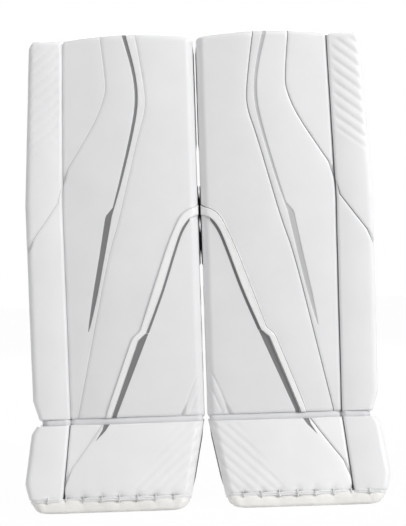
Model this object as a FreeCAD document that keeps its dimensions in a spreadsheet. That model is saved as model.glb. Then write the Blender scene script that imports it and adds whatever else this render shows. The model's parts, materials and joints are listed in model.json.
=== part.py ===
"""A pair of ice-hockey goalie leg pads, standing side by side on their toe ends.

Each pad is a shin section and a boot section that fold against each other at the
boot break.  Behind the shin lie the leg channel, the calf and knee wings that close
round the leg, and the straps: four with a hook-and-loop end that swing away on their
anchors, and an ankle strap with a roller buckle.

The goalie's right pad is modelled first, in its own pad frame: X runs across the pad,
0 at the inner edge and negative towards the outer edge; Y runs from the face (negative)
to the leg (positive), 0 half way through the core; Z runs up the shin, 0 at the break
hinge.  The boot has the same frame, hanging from the hinge, and is turned about it.
The left pad is the mirror image of the right one.  All lengths are millimetres.
"""

import FreeCAD, Part
import math
import os
import Sketcher

V = FreeCAD.Vector
DOC = FreeCAD.newDocument("GoalieLegPads")

# Driving dimensions: name, value, what it is.
DIMENSIONS = [
    ("pad_width", 279, "width of one pad over face and outer roll"),
    ("roll_width", 60, "width of the flat outer roll"),
    ("seam_gap", 1.2, "groove between face and outer roll"),
    ("shin_length", 632, "shin section, from the break hinge to the top"),
    ("core_depth", 46, "depth of the face block, cover included"),
    ("face_crown", 7, "rise of the face between its edges"),
    ("roll_crown", 3, "rise of the outer roll between its edges"),
    ("roll_rise", 3, "how far the roll's outer edge stands in front of its seam edge"),
    ("edge_bevel", 10, "bevel along the inner front edge"),
    ("seam_round", 5, "rounding of both shoulders of the seam"),
    ("roll_round", 12, "rounding of the outer roll's long edges"),
    ("roll_extra", 12, "how far the roll reaches behind the core"),
    ("taper_start", 360, "height at which the shin starts to narrow"),
    ("outer_taper", 17, "how much the outer edge comes in at the top"),
    ("seam_taper", 10, "how much the seam comes in at the top"),
    ("top_arch", 7, "rise of the top edge in its middle"),
    ("ankle_cut_rise", 44, "height of the slanted cut at the roll's lower corner"),
    ("ankle_cut_width", 13, "width of that cut"),
    ("cover_wall", 4, "thickness of skin and face foam"),
    ("fit_gap", 0.3, "clearance between pieces that lie on each other"),
    ("boot_angle", 18, "angle of the boot to the shin"),
    ("lean", 3, "forward lean of the shin when the pad stands"),
    ("break_opening", 9, "angle of the open break between shin and boot"),
    ("hinge_relief", 0.4, "clearance of each side at the hinge line"),
    ("boot_heel", 143.5, "boot length along its back, from hinge to floor"),
    ("toe_seam", 133, "boot length from the hinge to the toe seam"),
    ("boot_flare", 19, "how far the boot's outer edge swings out at the toe"),
    ("boot_skew", 14, "how far its seam leans outwards at the toe"),
    ("toe_narrowing", 26, "how far its inner edge comes in at the toe"),
    ("boot_corner_drop", 20, "height of the slanted cut at the boot's top corner"),
    ("boot_corner_width", 15, "width of that cut"),
    ("toe_corner_rise", 28, "height of the slanted cut at the toe's corner"),
    ("toe_corner_width", 11, "width of that cut"),
    ("toe_round", 13, "rounding of the toe roll's front lower edge"),
    ("lace_count", 8, "lace loops along the toe seam"),
    ("lace_radius", 2, "radius of a toe lace"),
    ("lace_length", 15, "length of lace that shows across the seam"),
    ("lace_inset", 14, "bare ends of the toe seam, before its laces"),
    ("panel_thickness", 4, "backing board"),
    ("panel_inset", 4, "how far the backing board stays inside the core"),
    ("panel_bottom", 8.4, "height of the backing board's lower end"),
    ("panel_drop", 14, "backing board, below the shin's upper corners"),
    ("panel_corner", 10, "corner radius of the backing board"),
    ("binding_width", 10, "bound hem at the top edge"),
    ("binding_round", 3, "rounding of the hem"),
    ("liner_depth", 24, "depth of the calf channel's side pads"),
    ("channel_dip", 17, "depth of the channel between them"),
    ("liner_outer", 28.4, "calf channel, from the seam of the outer roll"),
    ("liner_inner", 28, "calf channel, from the inner edge"),
    ("liner_bottom", 32, "height of its lower end"),
    ("liner_top", 240, "height of its upper end"),
    ("liner_lip", 20, "width of the flat lip each side of the channel"),
    ("liner_round", 6, "softened edges of the channel and the cushions"),
    ("knee_block_depth", 35, "depth of the knee landing block"),
    ("knee_block_outer", 53.4, "knee landing block, from the seam of the outer roll"),
    ("knee_block_inner", 30, "knee landing block, from the inner edge"),
    ("knee_block_round", 9, "rounding of the knee block"),
    ("thigh_liner_depth", 15, "depth of the thigh cushion"),
    ("thigh_liner_outer", 18.4, "thigh cushion, from the seam of the outer roll"),
    ("thigh_liner_inner", 14, "thigh cushion, from the inner edge"),
    ("thigh_liner_gap", 41, "thigh cushion, above the knee wings"),
    ("thigh_liner_drop", 24, "thigh cushion, below the shin's top"),
    ("wing_thickness", 9, "padded wings"),
    ("wing_reach", 122, "how far back the wings stand"),
    ("wing_bend", 30, "outer radius of the bend where a wing curls in"),
    ("wing_curl", 57, "width of the curled end, from the wing's outer side"),
    ("wing_corner", 34, "slanted corners of a wing"),
    ("calf_wing_bottom", 50, "height of the calf wings' lower end"),
    ("calf_wing_top", 236, "height of their upper end"),
    ("calf_wing_inset", 0.5, "inner calf wing, from the pad's inner edge"),
    ("wing_gap", 16, "space between the calf wings and the knee wings"),
    ("knee_wing_length", 131, "knee wings, from their lower end to their upper"),
    ("knee_wing_bulge", 1.8, "how far the inner knee wing swells past the edge"),
    ("outer_wing_gap", 3, "outer wings, from the outer roll"),
    ("strap_thickness", 3, "strap webbing"),
    ("strap_bend", 65, "outer radius of a strap's bend"),
    ("strap_end", 34, "where a strap ends, from the inner edge"),
    ("calf_strap_width", 38, "calf straps"),
    ("lower_calf_height", 105, "middle of the lower calf strap"),
    ("upper_calf_height", 196, "middle of the upper calf strap"),
    ("knee_strap_width", 50, "knee strap"),
    ("thigh_strap_width", 20, "thigh strap"),
    ("thigh_strap_rise", 20, "middle of the thigh strap, above the knee wings"),
    ("thigh_bend", 48, "radius of the thigh strap's inner bend"),
    ("anchor_length", 30, "strap anchor tabs on the outer roll"),
    ("anchor_inset", 13, "anchor tabs, from the outer edge"),
    ("anchor_gap", 0.4, "running clearance between an anchor tab and its strap"),
    ("rivet_radius", 3.5, "heads of the anchor rivets"),
    ("rivet_height", 1.6, "height of the rivet heads"),
    ("ankle_height", 18, "middle of the ankle strap"),
    ("ankle_strap_width", 25, "ankle strap"),
    ("ankle_reach", 100, "how far back the ankle strap stands"),
    ("ankle_bend", 56, "outer radius of the ankle strap's bend"),
    ("billet_end", 26, "tip of the ankle strap, from the inner edge"),
    ("chape_bend", 30, "outer radius of the buckle strap's bend"),
    ("heel_bar_from_edge", 58, "buckle's heel bar, from the inner edge"),
    ("buckle_length", 28, "heel bar to roller"),
    ("bar_radius", 2, "the buckle's round bars"),
    ("roller_wall", 1, "wall of the buckle's roller"),
    ("running_gap", 0.1, "radial clearance of the roller and the prong"),
    ("side_plate", 3, "thickness of the buckle's sides"),
    ("prong_thickness", 3.4, "the buckle's prong"),
    ("boot_liner_depth", 30, "depth of the boot's side pads behind the core"),
    ("boot_channel_depth", 15, "depth of the boot channel between them"),
    ("boot_liner_top", 14, "boot liner, below the hinge"),
    ("boot_liner_outer", 41, "boot liner, from the pad's outer edge"),
    ("boot_liner_inner", 30, "boot liner, from the inner edge"),
    ("boot_channel_outer", 95, "boot channel's floor, from the pad's outer edge"),
    ("boot_channel_inner", 84, "boot channel's floor, from the inner edge"),
    ("boot_channel_slope", 18, "width of each sloping side of the boot channel"),
    ("bridge_width", 46, "toe bridge"),
    ("bridge_length", 34, "how far the toe bridge stands out"),
    ("bridge_thickness", 5, "toe bridge"),
    ("bridge_corner", 10, "corner radius of the toe bridge"),
    ("bridge_height", 118, "toe bridge, below the hinge"),
    ("eyelet_radius", 4, "eyelet for the toe tie"),
    ("eyelet_edge", 11, "eyelet, from the bridge's end"),
    ("pair_gap", 5, "space between the two standing pads"),
    ("hinge_forward", 3.4, "break hinge, in front of the middle of the pair's box"),
]

QUARTER = math.sqrt(2) - 1
BEVEL_OFFSET = math.sqrt(2) - 1


def number_text(value):
    """A number as a spreadsheet expression writes it."""
    return repr(round(float(value), 9))


class Size:
    """A length or an angle that knows its value and its spreadsheet expression."""

    def __init__(self, value, text):
        self.value = float(value)
        self.text = text

    def __add__(self, other):
        other = as_size(other)
        return Size(self.value + other.value, "(%s + %s)" % (self.text, other.text))

    def __sub__(self, other):
        other = as_size(other)
        return Size(self.value - other.value, "(%s - %s)" % (self.text, other.text))

    def __mul__(self, other):
        other = as_size(other)
        return Size(self.value * other.value, "(%s * %s)" % (self.text, other.text))

    def __truediv__(self, other):
        other = as_size(other)
        return Size(self.value / other.value, "(%s / %s)" % (self.text, other.text))

    def __neg__(self):
        return Size(-self.value, "(-1 * %s)" % self.text)

    def __radd__(self, other):
        return as_size(other) + self

    def __rsub__(self, other):
        return as_size(other) - self

    def __rmul__(self, other):
        return as_size(other) * self


def as_size(value):
    """A Size as it is, or a plain number made into one."""
    return value if isinstance(value, Size) else Size(value, number_text(value))


def tangent(angle):
    """The tangent of an angle in degrees."""
    return Size(math.tan(math.radians(angle.value)), "tan(%s * 1deg)" % angle.text)


class Sheet:
    """The driving dimensions, read by name: each one is a Size bound to its cell."""

    def __init__(self):
        self.object = DOC.addObject("Spreadsheet::Sheet", "Sizes")
        for row, (name, value, meaning) in enumerate(DIMENSIONS, start=1):
            self.object.set("A%d" % row, meaning)
            self.object.set("B%d" % row, str(value))
            self.object.setAlias("B%d" % row, name)
            setattr(self, name, Size(value, "Sizes." + name))
        DOC.recompute()


S = Sheet()

# Places that several pieces share.
HALF = S.core_depth / 2
FACE_SIDE = S.roll_width - S.pad_width + S.seam_gap / 2
ROLL_SIDE = S.roll_width - S.pad_width - S.seam_gap / 2
OUTER = -S.pad_width
ROLL_BACK = HALF + S.roll_extra
PANEL_FRONT = HALF + S.fit_gap
PANEL_BACK = PANEL_FRONT + S.panel_thickness
LINER_FRONT = PANEL_BACK + S.fit_gap
WING_PIVOT_Y = LINER_FRONT + S.wing_thickness / 2
STRAP_INNER = S.wing_reach + S.fit_gap
ANCHOR_END = OUTER + S.anchor_inset
STRAP_FOOT = ROLL_BACK + S.fit_gap + S.strap_thickness / 2
STRAP_FACE = ANCHOR_END - S.anchor_gap - S.strap_thickness
KNEE_WING_BOTTOM = S.calf_wing_top + S.wing_gap
KNEE_WING_TOP = KNEE_WING_BOTTOM + S.knee_wing_length
KNEE_LEVEL = KNEE_WING_BOTTOM + S.knee_wing_length / 2
THIGH_LEVEL = KNEE_WING_TOP + S.thigh_strap_rise
BOOT_CHANNEL_OUTER = OUTER + S.boot_channel_outer
UPPER_CORNERS = S.shin_length - S.top_arch
MITRE = tangent((S.boot_angle + S.break_opening) / 2)
BOOT_TILT = S.boot_angle - S.lean
FLOOR_SLOPE = tangent(BOOT_TILT)

nodes = []


# ---------------------------------------------------------------- construction kit


def bind(thing, name, value):
    """Drives a property of a document object from the spreadsheet."""
    thing.setExpression(name, as_size(value).text)


def check_state(thing):
    """Stops the build if a feature could not be computed."""
    if "Invalid" in thing.State or "Error" in thing.State:
        raise RuntimeError("%s could not be built: %s" % (thing.Label, thing.State))


def new_body(label):
    """An empty PartDesign body."""
    body = DOC.addObject("PartDesign::Body", label)
    body.Label = label
    return body


def sketch(body, role, offset, outlines):
    """Closed, fully dimensioned outlines on a plane of the body.

    An outline is a list of corners (x, y) or (x, y, bulge), or a circle ("circle", x,
    y, radius).  A bulge bows the edge that leaves the corner to its right: it is twice
    the edge's rise over its chord, so QUARTER gives a quarter circle and 1 a half.
    """
    made = body.newObject("Sketcher::SketchObject", body.Label + "_sketch")
    plane = [f for f in body.Origin.OriginFeatures if f.Role == role][0]
    made.AttachmentSupport = [(plane, "")]
    made.MapMode = "FlatFace"
    bind(made, "AttachmentOffset.Base.z", offset)
    for outline in outlines:
        if outline[0] == "circle":
            add_circle(made, [as_size(v) for v in outline[1:]])
        else:
            add_outline(made, outline)
    return made


def fix_point(made, geometry, end, corner):
    """Dimensions a point of the sketch from its origin, along both axes."""
    for kind, value in zip(("DistanceX", "DistanceY"), corner):
        index = made.addConstraint(Sketcher.Constraint(kind, -1, 1, geometry, end, value.value))
        bind(made, "Constraints[%d]" % index, value)


def add_circle(made, circle):
    """A dimensioned circle."""
    x, y, radius = circle
    geometry = made.addGeometry(Part.Circle(V(x.value, y.value, 0), V(0, 0, 1), radius.value), False)
    fix_point(made, geometry, 3, (x, y))
    index = made.addConstraint(Sketcher.Constraint("Radius", geometry, radius.value))
    bind(made, "Constraints[%d]" % index, radius)


def add_outline(made, outline):
    """A closed, dimensioned loop of lines and arcs."""
    corners = [tuple(as_size(v) for v in corner) for corner in outline]
    following = corners[1:] + corners[:1]
    edges = [add_edge(made, corner, after) for corner, after in zip(corners, following)]
    for i, (index, start, end) in enumerate(edges):
        after = edges[(i + 1) % len(edges)]
        made.addConstraint(Sketcher.Constraint("Coincident", index, end, after[0], after[1]))
    for (index, start, end), corner, after in zip(edges, corners, following):
        fix_point(made, index, start, corner[:2])
        if len(corner) == 3:
            fix_centre(made, index, corner, after)


def add_edge(made, corner, after):
    """A line or an arc between two corners: its index, first and last vertex."""
    a, b = (V(c[0].value, c[1].value, 0) for c in (corner, after))
    if len(corner) == 2:
        return made.addGeometry(Part.LineSegment(a, b), False), 1, 2
    right = V(b.y - a.y, a.x - b.x, 0)
    middle = (a + b) / 2 + right * (corner[2].value / 2)
    if corner[2].value > 0:
        return made.addGeometry(Part.Arc(a, middle, b), False), 1, 2
    return made.addGeometry(Part.Arc(b, middle, a), False), 2, 1


def fix_centre(made, index, corner, after):
    """Dimensions an arc's centre along the axis that sets its bow."""
    across, along = after[0] - corner[0], after[1] - corner[1]
    bulge = corner[2]
    shift = (bulge * bulge - 1) / (4 * bulge)
    if abs(along.value) < abs(across.value):
        kind, value = "DistanceY", (corner[1] + after[1]) / 2 - across * shift
    else:
        kind, value = "DistanceX", (corner[0] + after[0]) / 2 + along * shift
    number = made.addConstraint(Sketcher.Constraint(kind, -1, 1, index, 3, value.value))
    bind(made, "Constraints[%d]" % number, value)


def extrude(body, profile, length, backwards=False):
    """Pads a sketch along its normal, or against it."""
    pad = body.newObject("PartDesign::Pad", body.Label + "_pad")
    pad.Profile = profile
    bind(pad, "Length", length)
    pad.Reversed = backwards
    DOC.recompute()
    check_state(pad)


def upright(body, bottom, height, *outlines):
    """A prism that stands on plan-view outlines."""
    extrude(body, sketch(body, "XY_Plane", bottom, outlines), height)


def slab(body, front, depth, *outlines):
    """A plate with front-view outlines, from its front backwards."""
    extrude(body, sketch(body, "XZ_Plane", -as_size(front), outlines), depth, backwards=True)


def bar(body, start, length, *outlines):
    """A bar across the pad with side-view outlines."""
    extrude(body, sketch(body, "YZ_Plane", start, outlines), length)


def loft(body, kind, sections):
    """A straight-sided loft through plan-view outlines, each with its height."""
    profiles = [sketch(body, "XY_Plane", height, [outline]) for height, outline in sections]
    before = body.Shape.Volume if kind == "PartDesign::SubtractiveLoft" else 0
    made = body.newObject(kind, body.Label + "_loft")
    made.Profile = profiles[0]
    made.Sections = profiles[1:]
    made.Ruled = True
    DOC.recompute()
    check_state(made)
    if kind == "PartDesign::SubtractiveLoft" and body.Shape.Volume >= before:
        raise RuntimeError("%s: the hollow removed nothing" % body.Label)


def cut(body, role, *outlines):
    """Cuts outlines on one of the body's planes right through it, both ways."""
    before = body.Shape.Volume
    pocket = body.newObject("PartDesign::Pocket", body.Label + "_cut")
    pocket.Profile = sketch(body, role, 0, outlines)
    pocket.Type = "ThroughAll"
    pocket.SideType = "Symmetric"
    DOC.recompute()
    check_state(pocket)
    if body.Shape.Volume >= before:
        raise RuntimeError("%s: a cut removed nothing" % body.Label)


def fillet(body, radius, chosen):
    """Rounds the edges that the function picks from the body's tip."""
    tip = body.Tip
    names = ["Edge%d" % (i + 1) for i, e in enumerate(tip.Shape.Edges) if chosen(e)]
    if not names:
        raise RuntimeError("%s has no edge to round" % body.Label)
    made = body.newObject("PartDesign::Fillet", body.Label + "_fillet")
    made.Base = (tip, names)
    bind(made, "Radius", radius)
    DOC.recompute()
    check_state(made)


def rise(height, chord):
    """The bulge of an edge that rises by a height over its chord."""
    return 2 * height / chord


def rectangle(x0, y0, x1, y1):
    """A rectangle's corners, counter-clockwise."""
    return [(x0, y0), (x1, y0), (x1, y1), (x0, y1)]


def add_node(label, thing, section):
    """Lists a finished sub-part and the section of the pad that it belongs to."""
    thing.Label = label
    nodes.append((label, thing, section))
    return thing


# ------------------------------------------------------------------ shin section


def face_section(inset, back, seam_shift=0, inner_shift=0):
    """Plan of the face block: rounded seam shoulder, crowned face, bevelled edge."""
    inset = as_size(inset)
    seam = FACE_SIDE + inset + seam_shift
    inner = -inset - inner_shift
    front = inset - HALF
    turn = S.seam_round - inset
    bevel = S.edge_bevel + BEVEL_OFFSET * inset
    face_end = inner + inset - bevel
    return [
        (seam, back),
        (seam, front + turn, QUARTER),
        (seam + turn, front, rise(S.face_crown, face_end - seam - turn)),
        (face_end, front),
        (inner, bevel - HALF),
        (inner, back),
    ]


def roll_section(outer_shift=0, seam_shift=0, back=ROLL_BACK):
    """Plan of the outer roll: rounded long edges and a crowned front that rises outwards."""
    outer = OUTER + outer_shift
    seam = ROLL_SIDE + seam_shift
    turn, shoulder = S.roll_round, S.seam_round
    front = -HALF - S.roll_rise
    return [
        (outer, back - turn),
        (outer, front + turn, QUARTER),
        (outer + turn, front, rise(S.roll_crown, seam - shoulder - outer - turn)),
        (seam - shoulder, -HALF, QUARTER),
        (seam, shoulder - HALF),
        (seam, back),
        (outer + turn, back, QUARTER),
    ]


def cut_shin_mitre(body):
    """Cuts the shin's lower end along the break, and square behind the hinge."""
    far = 60
    relief = S.hinge_relief
    cut(
        body,
        "YZ_Plane",
        [
            (HALF - 2 * far, relief + 2 * far * MITRE),
            (HALF - 2 * far, -far),
            (HALF + far, -far),
            (HALF + far, relief + 2),
            (HALF, relief + 2),
            (HALF, relief),
        ],
    )


def cut_top_arch(body, across):
    """Cuts the shin's top edge to its shallow arch over the given width."""
    outer, inner = across
    low = UPPER_CORNERS
    cut(
        body,
        "XZ_Plane",
        [
            (inner + 1, low),
            (inner + 1, S.shin_length + 9),
            (outer - 1, S.shin_length + 9),
            (outer - 1, low, -rise(S.top_arch, inner - outer + 2)),
        ],
    )


def make_shin_cover():
    """White skin and face foam: a shell over front, sides and top, open at the back."""
    body = new_body("shin_cover")
    top = S.shin_length
    loft(
        body,
        "PartDesign::AdditiveLoft",
        [
            (0, face_section(0, HALF)),
            (S.taper_start, face_section(0, HALF)),
            (top, face_section(0, HALF, S.seam_taper)),
        ],
    )
    open_back = HALF + 2
    wall = S.cover_wall
    loft(
        body,
        "PartDesign::SubtractiveLoft",
        [
            (-1, face_section(wall, open_back)),
            (S.taper_start, face_section(wall, open_back)),
            (UPPER_CORNERS - wall, face_section(wall, open_back, S.seam_taper)),
        ],
    )
    cut_shin_mitre(body)
    cut_top_arch(body, (FACE_SIDE, as_size(0)))
    add_node("shin_cover", body, "shin")


def make_shin_core():
    """High-density foam block that fills the shin cover."""
    body = new_body("shin_core")
    inset = S.cover_wall + S.fit_gap
    top = UPPER_CORNERS - S.cover_wall - S.fit_gap
    loft(
        body,
        "PartDesign::AdditiveLoft",
        [
            (0, face_section(inset, HALF)),
            (S.taper_start, face_section(inset, HALF)),
            (top, face_section(inset, HALF, S.seam_taper)),
        ],
    )
    cut_shin_mitre(body)
    add_node("shin_core", body, "shin")


def make_shin_roll():
    """Flat outer roll along the outer edge, narrowing at the top and at the ankle."""
    body = new_body("shin_outer_roll")
    loft(
        body,
        "PartDesign::AdditiveLoft",
        [
            (0, roll_section()),
            (S.taper_start, roll_section()),
            (S.shin_length, roll_section(S.outer_taper, S.seam_taper)),
        ],
    )
    cut_shin_mitre(body)
    corner = OUTER - 1
    low = UPPER_CORNERS
    cut(
        body,
        "XZ_Plane",
        [
            (corner, -1),
            (OUTER + S.ankle_cut_width, -1),
            (OUTER + S.ankle_cut_width, as_size(0)),
            (corner, S.ankle_cut_rise),
        ],
        [
            (corner, S.shin_length + 1),
            (corner, low - S.roll_round),
            (OUTER + S.outer_taper, low - S.roll_round, -QUARTER),
            (OUTER + S.outer_taper + S.roll_round, low),
            (ROLL_SIDE + S.seam_taper + 1, low),
            (ROLL_SIDE + S.seam_taper + 1, S.shin_length + 1),
        ],
    )
    add_node("shin_outer_roll", body, "shin")


def make_back_panel():
    """Backing board that carries the leg channel."""
    body = new_body("back_panel")
    outer, inner = FACE_SIDE + S.panel_inset, -S.panel_inset
    low, high = S.panel_bottom, UPPER_CORNERS - S.panel_drop
    outline = [
        (outer, low),
        (inner, low),
        (inner, high),
        (outer + S.seam_taper, high),
        (outer, S.taper_start),
    ]
    slab(body, PANEL_FRONT, S.panel_thickness, outline)
    fillet(body, S.panel_corner, is_panel_corner)
    add_node("back_panel", body, "shin")


def is_panel_corner(edge):
    """True for the backing board's four corners."""
    height = edge.CenterOfMass.z
    return is_along(edge, V(0, 1, 0)) and abs(height - S.taper_start.value) > 1


def make_top_binding():
    """Bound hem that closes the top edge behind the core."""
    body = new_body("top_binding")
    low = UPPER_CORNERS - S.panel_drop + 3 * S.fit_gap
    start = FACE_SIDE + S.seam_taper + S.panel_inset
    length = -start - S.panel_inset
    bar(body, start, length, rectangle(PANEL_FRONT, low, PANEL_BACK + S.binding_round, low + S.binding_width))
    fillet(body, S.binding_round, lambda e: is_along(e, V(1, 0, 0)) and e.CenterOfMass.y > PANEL_BACK.value)
    add_node("top_binding", body, "shin")


def make_calf_channel():
    """Padded trough that the shin lies in."""
    body = new_body("calf_channel")
    back = LINER_FRONT + S.liner_depth
    outer, inner = FACE_SIDE + S.liner_outer, -S.liner_inner
    chamfer = S.liner_round
    trough = inner - outer - 2 * S.liner_lip
    upright(
        body,
        S.liner_bottom,
        S.liner_top - S.liner_bottom,
        [
            (outer, LINER_FRONT),
            (inner, LINER_FRONT),
            (inner, back - chamfer),
            (inner - chamfer, back),
            (inner - S.liner_lip, back, -rise(S.channel_dip, trough)),
            (outer + S.liner_lip, back),
            (outer + chamfer, back),
            (outer, back - chamfer),
        ],
    )
    add_node("calf_channel", body, "shin")


def make_knee_block():
    """Block that the knee lands on."""
    body = new_body("knee_block")
    outer = FACE_SIDE + S.knee_block_outer
    upright(
        body,
        KNEE_WING_BOTTOM,
        S.knee_wing_length,
        rectangle(outer, LINER_FRONT, -S.knee_block_inner, LINER_FRONT + S.knee_block_depth),
    )
    fillet(body, S.knee_block_round, lambda e: e.CenterOfMass.y > LINER_FRONT.value + 1)
    add_node("knee_block", body, "shin")


def make_thigh_liner():
    """Thin cushion above the knee."""
    body = new_body("thigh_liner")
    bottom = KNEE_WING_TOP + S.thigh_liner_gap
    outer = FACE_SIDE + S.thigh_liner_outer
    upright(
        body,
        bottom,
        S.shin_length - S.thigh_liner_drop - bottom,
        rectangle(outer, LINER_FRONT, -S.thigh_liner_inner, LINER_FRONT + S.thigh_liner_depth),
    )
    fillet(body, S.liner_round, lambda e: e.CenterOfMass.y > LINER_FRONT.value + 1)
    add_node("thigh_liner", body, "shin")


def is_along(edge, direction):
    """True for a straight edge parallel to the direction."""
    if edge.Curve.TypeId != "Part::GeomLine":
        return False
    return edge.tangentAt(edge.FirstParameter).cross(direction).Length < 1e-6


# ------------------------------------------------------------------ wings and straps


def wing_outline(outer_face, side):
    """Plan of a padded wing: round foot, straight leg, and a curled end.

    outer_face is the X of its outer side; side is 1 for the wing at the pad's inner
    edge, which curls to -X, and -1 for the one beside the outer roll.
    """
    thick = S.wing_thickness
    foot = WING_PIVOT_Y
    reach = S.wing_reach
    bend = S.wing_bend
    inner_bend = bend - thick
    inner_face = outer_face - side * thick
    end = outer_face - side * S.wing_curl
    corners = [
        (outer_face, foot),
        (outer_face, reach - bend, side * QUARTER),
        (outer_face - side * bend, reach),
        (end, reach),
        (end, reach - thick),
        (inner_face - side * inner_bend, reach - thick, -side * QUARTER),
        (inner_face, reach - thick - inner_bend),
        (inner_face, foot, side),
    ]
    return corners


def make_wing(label, outer_face, side, bottom, top):
    """A wing with slanted corners at its free end."""
    body = new_body(label)
    upright(body, bottom, top - bottom, wing_outline(outer_face, side))
    back = S.wing_reach + 1
    slant = S.wing_corner
    cut(
        body,
        "YZ_Plane",
        [(back - slant, bottom - 1), (back, bottom - 1), (back, bottom + slant)],
        [(back, top - slant), (back, top + 1), (back - slant, top + 1)],
    )
    add_node(label, body, label)


def strap_outline(reach, end, bend):
    """Plan of a strap that rises from its anchor and bends across the leg."""
    thick = S.strap_thickness
    outer = STRAP_FACE
    inner = outer + thick
    turn = bend - thick
    return [
        (outer, STRAP_FOOT),
        (inner, STRAP_FOOT),
        (inner, reach - turn, -QUARTER),
        (inner + turn, reach),
        (end, reach),
        (end, reach + thick),
        (outer + bend, reach + thick, QUARTER),
        (outer, reach + thick - bend),
    ]


def make_strap(label, middle, width):
    """A strap whose hook-and-loop end lies on the inner wing's curl."""
    body = new_body(label)
    upright(body, middle - width / 2, width, strap_outline(STRAP_INNER, -S.strap_end, S.strap_bend))
    add_node(label, body, label)


def make_thigh_strap():
    """A narrow strap that goes right round to the pad's inner edge."""
    body = new_body("thigh_strap")
    thick = S.strap_thickness
    outer = STRAP_FACE
    inner = outer + thick
    bend = S.strap_bend
    turn = bend - thick
    reach = STRAP_INNER
    far = -S.calf_wing_inset
    near = far - thick
    small = S.thigh_bend - thick
    width = S.thigh_strap_width
    foot = HALF + 2 * S.fit_gap
    upright(
        body,
        THIGH_LEVEL - width / 2,
        width,
        [
            (outer, STRAP_FOOT),
            (inner, STRAP_FOOT),
            (inner, reach - turn, -QUARTER),
            (inner + turn, reach),
            (near - small, reach, -QUARTER),
            (near, reach - small),
            (near, foot),
            (far, foot),
            (far, reach + thick - S.thigh_bend, QUARTER),
            (far - S.thigh_bend, reach + thick),
            (outer + bend, reach + thick, QUARTER),
            (outer, reach + thick - bend),
        ],
    )
    add_node("thigh_strap", body, "thigh_strap")


def strap_levels():
    """Middle and width of every strap that is anchored on the outer roll."""
    return [
        (S.ankle_height, S.ankle_strap_width),
        (S.lower_calf_height, S.calf_strap_width),
        (S.upper_calf_height, S.calf_strap_width),
        (KNEE_LEVEL, S.knee_strap_width),
        (THIGH_LEVEL, S.thigh_strap_width),
    ]


def compound(label, pieces):
    """Several separate primitives as one object."""
    made = DOC.addObject("Part::Compound", label)
    made.Links = pieces
    DOC.recompute()
    check_state(made)
    return made


def make_strap_anchors():
    """Leather tabs on the outer roll's back, one for each strap."""
    tabs = []
    for middle, width in strap_levels():
        tab = DOC.addObject("Part::Box", "anchor_tab")
        bind(tab, "Length", S.anchor_length)
        bind(tab, "Width", S.strap_thickness)
        bind(tab, "Height", width)
        bind(tab, "Placement.Base.x", ANCHOR_END)
        bind(tab, "Placement.Base.y", ROLL_BACK + S.fit_gap)
        bind(tab, "Placement.Base.z", middle - width / 2)
        tabs.append(tab)
    add_node("strap_anchors", compound("strap_anchors", tabs), "shin")


def make_strap_rivets():
    """Two rivet heads on every anchor tab."""
    heads = []
    for middle, width in strap_levels():
        for share in (0.35, 0.75):
            head = DOC.addObject("Part::Cylinder", "rivet_head")
            bind(head, "Radius", S.rivet_radius)
            bind(head, "Height", S.rivet_height)
            head.Placement.Rotation = FreeCAD.Rotation(V(1, 0, 0), -90)
            bind(head, "Placement.Base.x", ANCHOR_END + share * S.anchor_length)
            bind(head, "Placement.Base.y", ROLL_BACK + S.fit_gap + S.strap_thickness)
            bind(head, "Placement.Base.z", middle)
            heads.append(head)
    add_node("strap_rivets", compound("strap_rivets", heads), "shin")


# ------------------------------------------------------------------ ankle strap and buckle

BILLET_BACK = S.ankle_reach
BILLET_FRONT = S.ankle_reach - S.strap_thickness
ROLLER_RADIUS = S.bar_radius + S.running_gap + S.roller_wall
LOOP_RADIUS = S.bar_radius + S.running_gap + S.strap_thickness / 2
HEEL_X = -S.heel_bar_from_edge
HEEL_Y = BILLET_FRONT - S.fit_gap - LOOP_RADIUS
ROLLER_X = HEEL_X - S.buckle_length
ROLLER_Y = BILLET_BACK + S.fit_gap + ROLLER_RADIUS
ANKLE_BOTTOM = S.ankle_height - S.ankle_strap_width / 2
BUCKLE_INSIDE = ANKLE_BOTTOM - 1
BUCKLE_SPAN = S.ankle_strap_width + 2


def prong_angle():
    """Direction of the closed prong, in degrees from +X, as it rests on the roller."""
    across = -S.buckle_length.value
    rise = ROLLER_Y.value - HEEL_Y.value
    stand_off = ROLLER_RADIUS.value + S.prong_thickness.value / 2 + S.fit_gap.value
    toward = math.atan2(rise, across)
    return math.degrees(toward - math.asin(stand_off / math.hypot(across, rise)))


def make_ankle_strap():
    """Leather strap from the outer roll, through the buckle, with a slot for the prong."""
    body = new_body("ankle_strap")
    width = S.ankle_strap_width
    upright(body, ANKLE_BOTTOM, width, strap_outline(BILLET_FRONT, -S.billet_end, S.ankle_bend))
    tip = -S.billet_end + 1
    point = width / 3
    top = ANKLE_BOTTOM + width
    cut(
        body,
        "XZ_Plane",
        [(tip - point, ANKLE_BOTTOM - 1), (tip, ANKLE_BOTTOM - 1), (tip, ANKLE_BOTTOM + point)],
        [(tip, top - point), (tip, top + 1), (tip - point, top + 1)],
    )
    slot_half = S.prong_thickness / 2 + 3 * S.fit_gap
    slot_start = HEEL_X - S.buckle_length * 0.62
    slot_end = HEEL_X + S.prong_thickness
    holes = [
        ("circle", slot_start - step * width, S.ankle_height, S.prong_thickness * 0.8)
        for step in (1.6, 2.4, 3.2)
    ]
    level = S.ankle_height
    cut(body, "XZ_Plane", rectangle(slot_start, level - slot_half, slot_end, level + slot_half), *holes)
    add_node("ankle_strap", body, "shin")


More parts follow.
